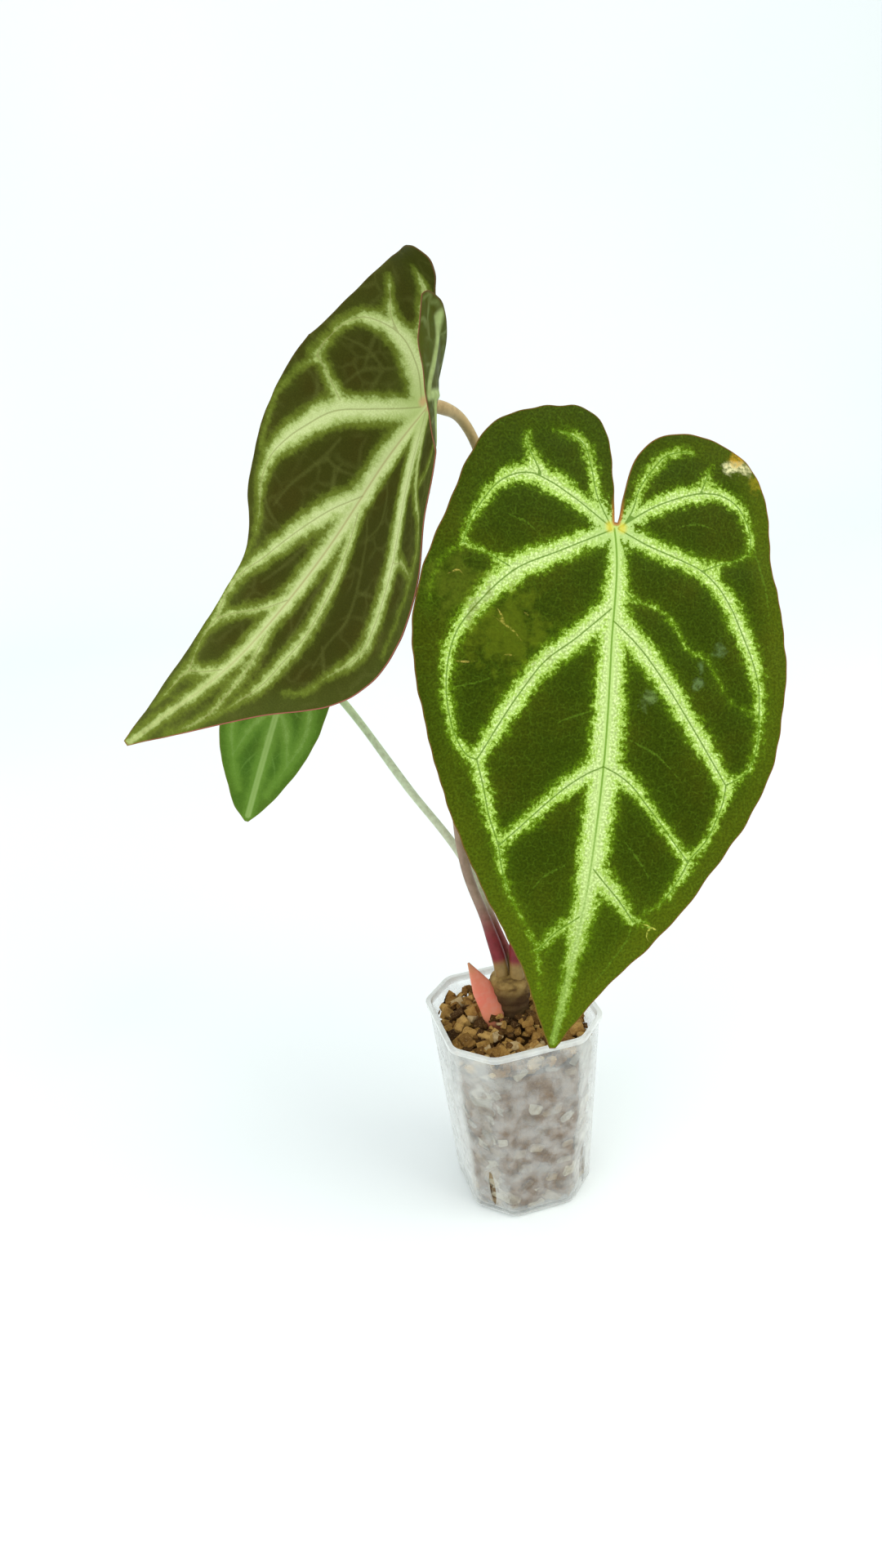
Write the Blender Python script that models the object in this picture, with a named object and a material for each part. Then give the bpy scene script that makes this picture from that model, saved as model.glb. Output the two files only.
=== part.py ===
"""Young velvet-leaved anthurium in a clear square nursery pot.

The origin is the centre of the pot's flat base, +Z is up and the flats of the pot lie along X and Y.
Sizes below are millimetres.  A leaf is drawn flat as (across, along) points, with the petiole joint at
(0, 0) and the tip at positive "along"; leaf_point() then bends that flat outline into its place.
"""
import math
import random

import bpy
import bmesh
import numpy as np
from mathutils import Vector
from mathutils.geometry import delaunay_2d_cdt

MM = 0.001
GAP = 0.3

# Driving sizes
POT_TOP = 60.0
POT_BASE = 48.0
POT_HEIGHT = 80.0
POT_CORNER_CUT = 12.0
POT_WALL = 1.0
POT_FLOOR = 1.6
POT_LIP = 1.0
POT_LIP_HEIGHT = 2.0
MEDIUM_LEVEL = 70.0
MEDIUM_MOUND = 5.0
BLADE_THICKNESS = 0.8
RIB_HEIGHT = 1.1
RIB_WIDTH = 3.6
PETIOLE_RADIUS = 1.9
PETIOLE_FOOT_RADIUS = 2.7
SMALL_PETIOLE_RADIUS = 1.6
SMALL_PETIOLE_FOOT_RADIUS = 2.0

# Pot details
SLOT_WIDTH = 3.0
SLOT_LOW = 4.0
SLOT_HIGH = 22.0
DRAIN_RADIUS = 2.2
DRAIN_RING = 14.5
DRAIN_COUNT = 8

# Growing medium
CHIP_COUNT = 88
CHIP_SIZE = (5.5, 10.5)
CHIP_SPREAD = 29.0
CHIP_SEED = 11

# Crown of the plant
CROWN_CENTRE = (2.0, 7.0)
CROWN_FOOT = 50.0
CROWN_TOP = 90.0
CROWN_RADIUS = 6.4
CROWN_HEAD_RADIUS = 7.5
SOCKET_DEPTH = 6.0

FRONT_LEAF = {
    "joint": (46.8, 0.1, 255.1),
    "heading": 2.0,
    "lean": 23.0,
    "turn": -14.0,
    "length": 165.0,
    "lobe": 36.0,
    "bend": 12.0,
    "lobe_bend": 6.0,
    "fold": (2.0, 2.0, 2.0),
    "twist": (0.0, 4.0),
    "wave": 0.0,
    "right_lobe_lift": 0.0,
    "left_edge": [
        (-0.5, -1.5), (-2.5, -26), (-4, -32), (-7, -36.5), (-12, -39), (-19, -39), (-28, -37), (-37, -33.5),
        (-45, -28), (-51, -18.5), (-58, 0), (-65, 19), (-67.5, 33), (-67, 45), (-64.5, 59), (-56.5, 84),
        (-47, 106.5), (-35, 127), (-23.5, 146.5), (-13.5, 169), (-10.8, 174.5),
    ],
    "right_edge": [
        (-8.6, 174.5), (-1.5, 163.5), (12.5, 146.5), (33.5, 122), (44.5, 105.5), (58, 79), (62, 55),
        (62, 35), (56.5, 8), (54.5, -9), (51.5, -19), (44, -28.5), (34, -33.5), (21.5, -34), (13, -31),
        (8, -26), (0.5, -1.5),
    ],
    "ribs": [
        [(0, 2), (0, 40), (0, 75), (-1, 113), (-6, 150), (-9.5, 170)],
        [(-2, 1), (-20, 10), (-34, 17), (-45, 27.5), (-53.5, 40), (-55.5, 50), (-54.5, 63), (-50, 74.5)],
        [(-1, 27), (-20, 44), (-31, 56.5), (-43, 77)],
        [(-1, 79.5), (-15.5, 89), (-32, 105)],
        [(2, 1), (22.5, 8.5), (33.5, 14), (45.5, 31), (53, 50), (52.5, 70)],
        [(1, 32), (17.5, 47), (41, 80)],
        [(0, 79.5), (10.5, 86.5), (29, 108)],
        [(-3, -2), (-20.5, -12), (-33.5, -13), (-43.5, -8), (-50.5, 2.5)],
        [(3, -2), (22, -12), (35, -14), (44.5, -8), (48, 2.5)],
    ],
}

LEFT_LEAF = {
    "joint": (-2.8, 41.6, 296.3),
    "heading": -58.0,
    "lean": 15.0,
    "turn": -31.0,
    "length": 165.0,
    "lobe": 42.0,
    "bend": -54.0,
    "lobe_bend": -47.0,
    "fold": (33.0, 38.0, -19.0),
    "twist": (20.0, -15.0),
    "wave": 2.5,
    "right_lobe_lift": 5.0,
    "left_edge": [
        (-0.5, -1.5), (-3, -12), (-6, -25), (-7.2, -38), (-7, -50), (-9, -55.5), (-14, -54), (-21, -47.5),
        (-33, -34), (-40, -20), (-45, -3), (-49, 13), (-51, 28), (-51, 42), (-48, 55), (-43, 67), (-35, 77),
        (-29.5, 87.5), (-26.5, 103), (-23.5, 118), (-19, 133), (-14, 147), (-8, 158.5), (-2.5, 168.5),
    ],
    "right_edge": [
        (0, 168.5), (4, 157), (12, 138), (20.5, 123), (32, 109), (40, 98), (45, 87), (48, 70), (49.5, 50),
        (48, 30), (45.5, 13), (43, -5), (39.5, -22), (34, -38), (27, -50), (19, -55), (11, -53), (6, -45),
        (3.5, -30), (2.2, -14), (0.5, -1.5),
    ],
    "ribs": [
        [(0, 2), (-4, 17), (-5, 40), (-5, 79), (-4, 98), (-5.5, 132), (-2.5, 163)],
        [(-2, 3), (-14, 11), (-25, 18), (-34, 30), (-41, 44), (-41.5, 56), (-31, 78)],
        [(-3, -1), (-16, -12.5), (-25, -18), (-33, -17), (-38, -9), (-41, 2)],
        [(-5, 42), (-14, 55), (-20, 70), (-26, 87), (-26, 101)],
        [(-5, 91), (-12, 98), (-21, 114)],
        [(1, 3), (17, 20), (23, 36), (28, 46), (32, 58), (34, 71), (34, 83), (27, 97)],
        [(-2, 51), (5, 73), (10, 92), (11, 118), (8, 136)],
        [(2, -1), (11, -14), (18, -29), (21, -42)],
    ],
}

SMALL_LEAF = {
    "joint": (-48.5, 118.9, 196.0),
    "heading": -12.0,
    "lean": 17.0,
    "turn": -23.0,
    "length": 79.0,
    "lobe": 20.0,
    "bend": 22.0,
    "lobe_bend": 12.0,
    "fold": (12.0, 12.0, 4.0),
    "twist": (0.0, -5.0),
    "wave": 1.0,
    "right_lobe_lift": 0.0,
    "left_edge": [
        (-0.5, -1), (-2, -9), (-4, -15.5), (-9, -18.5), (-15.5, -16), (-19.5, -8), (-22, 3), (-23.5, 17),
        (-23, 32), (-19.5, 47), (-12.5, 62), (-5.5, 74), (-0.8, 79),
    ],
    "right_edge": [
        (0.8, 79), (4.5, 73.5), (10.5, 62), (16.5, 47), (20, 32), (21, 16), (20.5, 3), (18, -8), (14, -15),
        (9, -17.5), (4.5, -14.5), (2, -8.5), (0.5, -1),
    ],
    "ribs": [
        [(0, 1.5), (0, 25), (0, 50), (0, 72)],
        [(-1, 1), (-9, 8), (-15, 20), (-17, 34)],
        [(1, 1), (8, 8), (13, 20), (14.5, 34)],
        [(-0.5, 24), (-8, 35), (-13, 50)],
        [(0.5, 24), (6.5, 35), (10.5, 49)],
    ],
}

FRONT_PETIOLE = [
    (4, 4, 84), (4, 4, 92), (5.5, 7, 108), (12, 15, 138), (22, 22, 175), (34, 25, 212), (43, 22, 238),
    (46.5, 14, 249.5), (46.8, 8, 252),
]
LEFT_PETIOLE = [
    (-1, 7.2, 84), (-1, 7.6, 92), (-3.4, 12, 108), (-8.4, 19.5, 131), (-8.4, 26.5, 151), (-2.5, 36.5, 178),
    (7.5, 48.5, 212), (17.3, 56.5, 240), (21.5, 58.5, 261), (18.5, 57, 278), (11, 52, 290), (4, 46, 294),
]
SMALL_PETIOLE = [
    (3.6, 10.2, 84), (3.6, 10.4, 91), (1.2, 17, 103), (-4, 35.5, 124.6), (-17.4, 66, 147.6),
    (-31.5, 106, 172.2), (-37.5, 121, 180.5), (-43.5, 129, 189.5), (-46.7, 127, 193.5),
]
CATAPHYLL = [(-8.5, 1.5, 66), (-8.8, 2.5, 76), (-10.3, 5.5, 86), (-13.2, 10, 96.5)]
CATAPHYLL_WIDTHS = [2.4, 4.0, 3.4, 0.35]
CATAPHYLL_DEPTHS = [1.4, 1.5, 1.2, 0.35]


def clear_scene():
    for thing in list(bpy.data.objects):
        bpy.data.objects.remove(thing, do_unlink=True)


def plain_material(name, colour, roughness, transmission=0.0):
    material = bpy.data.materials.new(name)
    material.use_nodes = True
    shader = material.node_tree.nodes["Principled BSDF"]
    shader.inputs["Base Color"].default_value = (*colour, 1.0)
    shader.inputs["Roughness"].default_value = roughness
    shader.inputs["Transmission Weight"].default_value = transmission
    return material


def add_object(name, bm, material=None):
    bmesh.ops.recalc_face_normals(bm, faces=bm.faces[:])
    mesh = bpy.data.meshes.new(name)
    bm.to_mesh(mesh)
    bm.free()
    thing = bpy.data.objects.new(name, mesh)
    bpy.context.scene.collection.objects.link(thing)
    if material:
        mesh.materials.append(material)
    return thing


def apply_boolean(thing, operation, cutter):
    modifier = thing.modifiers.new("boolean", "BOOLEAN")
    modifier.operation = operation
    modifier.solver = "MANIFOLD"
    modifier.object = cutter
    graph = bpy.context.evaluated_depsgraph_get()
    mesh = bpy.data.meshes.new_from_object(thing.evaluated_get(graph))
    thing.modifiers.clear()
    thing.data = mesh
    bpy.data.objects.remove(cutter, do_unlink=True)


def smooth_line(points, step):
    """A rounded line through the points, sampled about every step."""
    points = np.array(points, float)
    lengths = np.linalg.norm(np.diff(points, axis=0), axis=1)
    at = np.concatenate([[0.0], np.cumsum(lengths)])
    slopes = np.gradient(points, at, axis=0)
    count = max(2, int(round(at[-1] / step)) + 1)
    where = np.linspace(0.0, at[-1], count)
    index = np.clip(np.searchsorted(at, where, side="right") - 1, 0, len(at) - 2)
    span = lengths[index][:, None]
    u = (where[:, None] - at[index][:, None]) / span
    start = (1 + 2 * u) * (1 - u) ** 2 * points[index] + u * (1 - u) ** 2 * span * slopes[index]
    finish = u * u * (3 - 2 * u) * points[index + 1] + u * u * (u - 1) * span * slopes[index + 1]
    return start + finish


def leaf_axes(leaf):
    """The directions to the right, to the tip and out of the face of a leaf, at its joint."""
    heading, lean, turn = (math.radians(leaf[key]) for key in ("heading", "lean", "turn"))
    right = np.array([math.cos(heading), math.sin(heading), 0.0])
    level = np.array([math.sin(heading), -math.cos(heading), 0.0])
    face = level * math.cos(lean) + np.array([0.0, 0.0, math.sin(lean)])
    tip = np.cross(right, face)
    return (right * math.cos(turn) - tip * math.sin(turn),
            tip * math.cos(turn) + right * math.sin(turn),
            face)


def leaf_pitch(leaf, along):
    """How far the midrib line has bent back from the face, in radians."""
    toward_tip = math.radians(leaf["bend"]) * (np.clip(along, 0, None) / leaf["length"]) ** 1.5
    toward_lobe = math.radians(leaf["lobe_bend"]) * np.clip(-along, 0, None) / leaf["lobe"]
    return toward_tip - toward_lobe


def leaf_point(leaf, across, along):
    """Places flat leaf coordinates on the bent leaf surface."""
    right, tip, face = leaf_axes(leaf)
    across = np.asarray(across, float)
    along = np.asarray(along, float)

    table = np.linspace(-2 * leaf["lobe"], 1.2 * leaf["length"], 600)
    pitch = leaf_pitch(leaf, table)
    step = table[1] - table[0]
    run = np.concatenate([[0.0], np.cumsum((np.cos(pitch[1:]) + np.cos(pitch[:-1])) / 2 * step)])
    drop = np.concatenate([[0.0], np.cumsum((np.sin(pitch[1:]) + np.sin(pitch[:-1])) / 2 * step)])
    run = np.interp(along, table, run) - np.interp(0.0, table, run)
    drop = np.interp(along, table, drop) - np.interp(0.0, table, drop)
    pitch = leaf_pitch(leaf, along)

    tipward = np.clip(along / leaf["length"], 0, 1)
    lobeward = np.clip(-along / leaf["lobe"], 0, 1)
    fold_lobe, fold_joint, fold_tip = np.radians(leaf["fold"])
    fold = fold_joint + (fold_tip - fold_joint) * tipward + (fold_lobe - fold_joint) * lobeward
    twist = math.radians(leaf["twist"][0]) * lobeward + math.radians(leaf["twist"][1]) * tipward

    side = across * np.cos(fold)
    rise = (np.sqrt(across ** 2 + 9.0) - 3.0) * np.sin(fold)
    phase = np.where(across < 0, 2.2, 0.5)
    rise += leaf["wave"] * np.sin(3 * math.pi * along / leaf["length"] + phase) * (across / 60.0) ** 2
    lobe_rise = np.where(across > 0, leaf["right_lobe_lift"], 0.0) * np.clip(across / 6.0, 0, 1)
    rise += lobe_rise * np.clip(-along, 0, None) / leaf["lobe"]
    side, rise = side * np.cos(twist) - rise * np.sin(twist), side * np.sin(twist) + rise * np.cos(twist)

    tip_part = run + rise * np.sin(pitch)
    face_part = rise * np.cos(pitch) - drop
    return (np.array(leaf["joint"]) + np.multiply.outer(side, right)
            + np.multiply.outer(tip_part, tip) + np.multiply.outer(face_part, face))


def leaf_normal(leaf, across, along):
    """Unit normals on the face side of the bent leaf surface."""
    nudge = 0.05
    sideways = leaf_point(leaf, across + nudge, along) - leaf_point(leaf, across - nudge, along)
    onward = leaf_point(leaf, across, along + nudge) - leaf_point(leaf, across, along - nudge)
    normal = np.cross(onward, sideways)
    return normal / np.linalg.norm(normal, axis=1)[:, None]


def line_distance(points, line):
    """The distance from each point to a polyline, and how far along the line its nearest place is."""
    best = np.full(len(points), 1e9)
    place = np.zeros(len(points))
    for index, (a, b) in enumerate(zip(line[:-1], line[1:])):
        edge = b - a
        u = np.clip(((points - a) @ edge) / (edge @ edge), 0, 1)
        distance = np.linalg.norm(points - a - u[:, None] * edge, axis=1)
        nearer = distance < best
        best[nearer] = distance[nearer]
        place[nearer] = (index + u[nearer]) / (len(line) - 1)
    return best, place


def rib_depth(leaf, points):
    """How far the ribs stand out behind the blade, tapering from the joint to their ends."""
    depth = np.zeros(len(points))
    scale = leaf["length"] / 165.0
    for index, rib in enumerate(leaf["ribs"]):
        height = RIB_HEIGHT if index == 0 else RIB_HEIGHT * 0.6
        distance, place = line_distance(points, smooth_line(rib, 2.0))
        profile = np.clip(1 - distance / (RIB_WIDTH * scale / 2), 0, 1)
        depth = np.maximum(depth, height * math.sqrt(scale) * profile * (1 - 0.7 * place))
    return depth


def spread_points(candidates, kept, spacing):
    """Adds the candidates that keep their distance from every point already kept."""
    for point in candidates:
        if min(np.hypot(*(np.array(kept) - point).T)) > spacing:
            kept.append(point)


def blade_layout(leaf, edge_step, rib_step, grid_step):
    """Flat points of a blade and the triangles between them; the outline comes first."""
    left = smooth_line(leaf["left_edge"], edge_step)
    right = smooth_line(leaf["right_edge"], edge_step)
    outline = np.concatenate([left, right])
    kept = list(outline)
    rib_rows = [smooth_line(rib, rib_step) for rib in leaf["ribs"]]
    for row in rib_rows:
        spread_points(row, kept, RIB_WIDTH * 0.45)
    for row in rib_rows:
        heading = np.gradient(row, axis=0)
        heading /= np.linalg.norm(heading, axis=1)[:, None]
        beside = np.stack([-heading[:, 1], heading[:, 0]], axis=1) * RIB_WIDTH / 2
        spread_points(row + beside, kept, RIB_WIDTH * 0.4)
        spread_points(row - beside, kept, RIB_WIDTH * 0.4)
    low = outline.min(axis=0)
    high = outline.max(axis=0)
    rows = int((high[1] - low[1]) / (grid_step * 0.866))
    for row in range(rows + 1):
        shift = grid_step / 2 if row % 2 else 0.0
        xs = np.arange(low[0] + shift, high[0], grid_step)
        line = np.stack([xs, np.full(len(xs), low[1] + row * grid_step * 0.866)], axis=1)
        spread_points(line, kept, grid_step * 0.62)
    border = [(i, (i + 1) % len(outline)) for i in range(len(outline))]
    points, edges, faces = delaunay_2d_cdt([Vector(p) for p in kept], border, [], 1, 1e-5)[:3]
    return np.array([tuple(p) for p in points]), faces


def build_blade(name, leaf, material, grid_step):
    points, faces = blade_layout(leaf, grid_step * 0.75, grid_step, grid_step)
    surface = leaf_point(leaf, points[:, 0], points[:, 1])
    normal = leaf_normal(leaf, points[:, 0], points[:, 1])
    upper = surface + normal * BLADE_THICKNESS / 2
    lower = surface - normal * (BLADE_THICKNESS / 2 + rib_depth(leaf, points))[:, None]
    bm = bmesh.new()
    top = [bm.verts.new(p * MM) for p in upper]
    bottom = [bm.verts.new(p * MM) for p in lower]
    for a, b, c in faces:
        bm.faces.new((top[a], top[b], top[c]))
        bm.faces.new((bottom[c], bottom[b], bottom[a]))
    rim = [edge for edge in bm.edges if len(edge.link_faces) == 1]
    twin = {vert: bottom[i] for i, vert in enumerate(top)}
    for edge in rim:
        a, b = edge.verts
        if a in twin and b in twin:
            bm.faces.new((a, b, twin[b], twin[a]))
    bmesh.ops.triangulate(bm, faces=[face for face in bm.faces if len(face.verts) == 4])
    loose = [vert for vert in bm.verts if not vert.link_faces]
    bmesh.ops.delete(bm, geom=loose, context="VERTS")
    return add_object(name, bm, material)


def add_tube(bm, points, widths, depths, sides, facing=(0.0, -1.0, 0.0)):
    """A closed rounded bar along the points; widths run across the facing direction, depths along it."""
    points = np.array(points, float)
    heading = np.gradient(points, axis=0)
    heading /= np.linalg.norm(heading, axis=1)[:, None]
    front = np.array(facing)
    rings = []
    for point, along, width, depth in zip(points, heading, widths, depths):
        front = front - along * (front @ along)
        front = front / np.linalg.norm(front)
        beside = np.cross(along, front)
        ring = []
        for i in range(sides):
            angle = 2 * math.pi * i / sides
            place = point + beside * math.cos(angle) * width + front * math.sin(angle) * depth
            ring.append(bm.verts.new(place * MM))
        rings.append(ring)
    for lower, upper in zip(rings[:-1], rings[1:]):
        for i in range(sides):
            j = (i + 1) % sides
            bm.faces.new((lower[i], lower[j], upper[j], upper[i]))
    bm.faces.new(rings[0][::-1])
    bm.faces.new(rings[-1])


def petiole_radii(count, length, base_radius, body_radius):
    """Thick at the foot, slender through the arch, a little swollen just under the blade."""
    at = np.linspace(0.0, length, count)
    foot = (base_radius - body_radius) / (1 + np.exp((at - 24.0) / 4.0))
    neck = body_radius * 0.22 * np.exp(-((length - at - 6.0) / 6.0) ** 2)
    return body_radius + foot + neck


def petiole_path(points, leaf, step):
    """The petiole from its socket to just behind the rib at the joint of the blade."""
    face = leaf_axes(leaf)[2]
    reach = BLADE_THICKNESS / 2 + RIB_HEIGHT + GAP
    end = np.array(leaf["joint"]) - face * reach
    return smooth_line(points + [tuple(end)], step)


def build_petiole(name, points, leaf, base_radius, body_radius, material):
    path = petiole_path(points, leaf, 7.0)
    length = np.linalg.norm(np.diff(path, axis=0), axis=1).sum()
    radii = petiole_radii(len(path), length, base_radius, body_radius)
    bm = bmesh.new()
    add_tube(bm, path, radii, radii, 12)
    return add_object(name, bm, material)


def cylinder(name, centre, low, high, radius, sides=20):
    bm = bmesh.new()
    path = [(centre[0], centre[1], low), (centre[0], centre[1], high)]
    add_tube(bm, path, [radius] * 2, [radius] * 2, sides)
    return add_object(name, bm)


def build_crown(material):
    x, y = CROWN_CENTRE
    heights = [CROWN_FOOT, CROWN_FOOT + 3, 70, 78, 80, 82, 85, 88, CROWN_TOP - 0.8, CROWN_TOP]
    radii = [CROWN_RADIUS - 1.5, CROWN_RADIUS, CROWN_RADIUS, CROWN_RADIUS, CROWN_RADIUS + 0.5, CROWN_RADIUS,
             CROWN_HEAD_RADIUS - 0.4, CROWN_HEAD_RADIUS, CROWN_HEAD_RADIUS - 0.3, CROWN_HEAD_RADIUS - 1.2]
    bm = bmesh.new()
    add_tube(bm, [(x, y, z) for z in heights], radii, radii, 24)
    crown = add_object("crown", bm, material)
    feet = ((FRONT_PETIOLE, PETIOLE_FOOT_RADIUS), (LEFT_PETIOLE, PETIOLE_FOOT_RADIUS),
            (SMALL_PETIOLE, SMALL_PETIOLE_FOOT_RADIUS))
    for points, radius in feet:
        low = CROWN_TOP - SOCKET_DEPTH - GAP
        apply_boolean(crown, "DIFFERENCE", cylinder("socket", points[0], low, CROWN_TOP + 4, radius + GAP))
    return crown


def octagon(flats, cut, round_radius, z):
    """One ring of the pot: a square with cut corners, each of its eight corners softened."""
    half = flats / 2
    inner = half - cut
    corners = [(half, -inner), (half, inner), (inner, half), (-inner, half),
               (-half, inner), (-half, -inner), (-inner, -half), (inner, -half)]
    ring = []
    for index, corner in enumerate(corners):
        before = Vector(corners[index - 1])
        after = Vector(corners[(index + 1) % 8])
        corner = Vector(corner)
        start = corner + (before - corner).normalized() * round_radius
        finish = corner + (after - corner).normalized() * round_radius
        middle = (start + finish) / 4 + corner / 2
        ring.extend(Vector((p.x, p.y, z)) * MM for p in (start, middle, finish))
    return ring


def loft(name, rings, material=None):
    bm = bmesh.new()
    rows = [[bm.verts.new(p) for p in ring] for ring in rings]
    for lower, upper in zip(rows[:-1], rows[1:]):
        for i in range(len(lower)):
            j = (i + 1) % len(lower)
            bm.faces.new((lower[i], lower[j], upper[j], upper[i]))
    bm.faces.new(rows[0][::-1])
    bm.faces.new(rows[-1])
    return add_object(name, bm, material)


def pot_flats(z):
    """Outer distance across the flats at a height, without the lip."""
    top = POT_TOP - 2 * POT_LIP
    return POT_BASE + (top - POT_BASE) * z / POT_HEIGHT


def pot_ring(z, inset, round_radius=1.5):
    """A ring moved inward from the outer wall; the corner cut keeps its facets parallel."""
    cut = POT_CORNER_CUT - inset * (2 - math.sqrt(2))
    return octagon(pot_flats(z) - 2 * inset, cut, round_radius, z)


def build_pot(material):
    lip_low = POT_HEIGHT - POT_LIP_HEIGHT
    rings = [
        pot_ring(0.0, 2.2), pot_ring(0.7, 0.7), pot_ring(2.4, 0.0),
        pot_ring(lip_low - 0.6, 0.0), pot_ring(lip_low, -POT_LIP), pot_ring(POT_HEIGHT - 0.4, -POT_LIP),
        pot_ring(POT_HEIGHT, -POT_LIP + 0.4), pot_ring(POT_HEIGHT, POT_WALL), pot_ring(3.0, POT_WALL),
        pot_ring(POT_FLOOR, 2.4),
    ]
    pot = loft("pot", rings, material)
    for quarter in range(4):
        corner = math.radians(45 + 90 * quarter)
        reach = (pot_flats(10) - POT_CORNER_CUT) / math.sqrt(2)
        bm = bmesh.new()
        path = [((reach - 6) * math.cos(corner), (reach - 6) * math.sin(corner)),
                ((reach + 6) * math.cos(corner), (reach + 6) * math.sin(corner))]
        middle = (SLOT_LOW + SLOT_HIGH) / 2
        half = (SLOT_HIGH - SLOT_LOW) / 2
        add_tube(bm, [(px, py, middle) for px, py in path], [SLOT_WIDTH / 2] * 2, [half] * 2, 12, (0, 0, 1))
        apply_boolean(pot, "DIFFERENCE", add_object("slot", bm))
    for index in range(DRAIN_COUNT):
        angle = math.radians(22.5 + 360 * index / DRAIN_COUNT)
        centre = (DRAIN_RING * math.cos(angle), DRAIN_RING * math.sin(angle))
        apply_boolean(pot, "DIFFERENCE", cylinder("drain", centre, -2, 4, DRAIN_RADIUS, 12))
    return pot


def medium_height(x, y):
    """Level of the packed medium: a low mound round the crown and gentle dips elsewhere."""
    mound = MEDIUM_MOUND * math.exp(-((x - CROWN_CENTRE[0]) ** 2 + (y - CROWN_CENTRE[1]) ** 2) / 250.0)
    return MEDIUM_LEVEL + mound + 0.8 * math.sin(0.21 * x + 1.0) * math.cos(0.24 * y)


def add_chip(rng, x, y, z):
    """One angular flake of bark: the hull of a few points thrown about a squashed box."""
    size = rng.uniform(*CHIP_SIZE)
    shape = Vector((1.0, rng.uniform(0.55, 0.95), rng.uniform(0.4, 0.75))) * size / 2
    turn = Vector((rng.random(), rng.random(), rng.random())).normalized()
    spin = rng.uniform(0, 2 * math.pi)
    bm = bmesh.new()
    for corner in range(8):
        signs = [1 if corner >> bit & 1 else -1 for bit in range(3)]
        place = Vector([s * half * rng.uniform(0.65, 1.0) for s, half in zip(signs, shape)])
        place.rotate(turn.to_track_quat("Z", "Y"))
        place = Vector((place.x * math.cos(spin) - place.y * math.sin(spin),
                        place.x * math.sin(spin) + place.y * math.cos(spin), place.z))
        bm.verts.new((place + Vector((x, y, z))) * MM)
    bmesh.ops.convex_hull(bm, input=bm.verts[:])
    loose = [vert for vert in bm.verts if not vert.link_faces]
    bmesh.ops.delete(bm, geom=loose, context="VERTS")
    return add_object("chip", bm)


def chip_places(rng):
    """Places spread evenly over the top of the medium, by a turning spiral with some scatter."""
    places = []
    for index in range(CHIP_COUNT):
        radius = CHIP_SPREAD * math.sqrt((index + 0.5) / CHIP_COUNT)
        angle = index * 2.39996
        squareness = 1.0 + 0.16 * math.cos(4 * angle) ** 2
        x = radius * math.cos(angle) * squareness + rng.uniform(-1, 1)
        y = radius * math.sin(angle) * squareness + rng.uniform(-1, 1)
        places.append((x, y))
    return places


def build_medium(material):
    rng = random.Random(CHIP_SEED)
    inset = POT_WALL + GAP
    low = POT_FLOOR + GAP
    packed = [pot_ring(low, 2.8), pot_ring(3.4, inset), pot_ring(MEDIUM_LEVEL - 1, inset)]
    plug = loft("growing_medium", packed, material)
    chips = bpy.data.collections.new("chips")
    for x, y in chip_places(rng):
        chip = add_chip(rng, x, y, medium_height(x, y) + rng.uniform(-1.5, 1.2))
        bpy.context.scene.collection.objects.unlink(chip)
        chips.objects.link(chip)
    bpy.context.scene.collection.children.link(chips)
    modifier = plug.modifiers.new("pack", "BOOLEAN")
    modifier.operation = "UNION"
    modifier.operand_type = "COLLECTION"
    modifier.solver = "MANIFOLD"
    modifier.collection = chips
    graph = bpy.context.evaluated_depsgraph_get()
    mesh = bpy.data.meshes.new_from_object(plug.evaluated_get(graph))
    plug.modifiers.clear()
    plug.data = mesh
    for chip in list(chips.objects):
        bpy.data.objects.remove(chip, do_unlink=True)
    bpy.data.collections.remove(chips)

    room = loft("room", [pot_ring(low, 2.8), pot_ring(3.4, inset), pot_ring(POT_HEIGHT + 6, inset)])
    apply_boolean(plug, "INTERSECT", room)
    hole = cylinder("hole", CROWN_CENTRE, CROWN_FOOT - GAP, POT_HEIGHT + 8, CROWN_RADIUS + GAP, 24)
    apply_boolean(plug, "DIFFERENCE", hole)
    apply_boolean(plug, "DIFFERENCE", cataphyll_shape("hole", GAP))
    keep_largest_piece(plug)
    return plug


def keep_largest_piece(thing):
    """Drops crumbs that the cuts have left loose."""
    bm = bmesh.new()
    bm.from_mesh(thing.data)
    pieces = []
    left = set(bm.verts)
    while left:
        piece = {left.pop()}
        front = set(piece)
        while front:
            near = {edge.other_vert(vert) for vert in front for edge in vert.link_edges}
            front = near - piece
            piece |= front
        left -= piece
        pieces.append(piece)
    pieces.sort(key=len)
    for piece in pieces[:-1]:
        bmesh.ops.delete(bm, geom=list(piece), context="VERTS")
    bm.to_mesh(thing.data)
    bm.free()


def cataphyll_shape(name, spare, material=None):
    """The pointed pink sheath, or with spare room round it the hole it stands in."""
    path = smooth_line(CATAPHYLL, 3.0)
    at = np.linspace(0.0, 1.0, len(path))
    stations = np.linspace(0.0, 1.0, len(CATAPHYLL))
    widths = np.interp(at, stations, CATAPHYLL_WIDTHS) + spare
    depths = np.interp(at, stations, CATAPHYLL_DEPTHS) + spare
    path[0][2] -= spare
    bm = bmesh.new()
    add_tube(bm, path, widths, depths, 12, (0.25, -0.9, 0.3))
    return add_object(name, bm, material)


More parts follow.
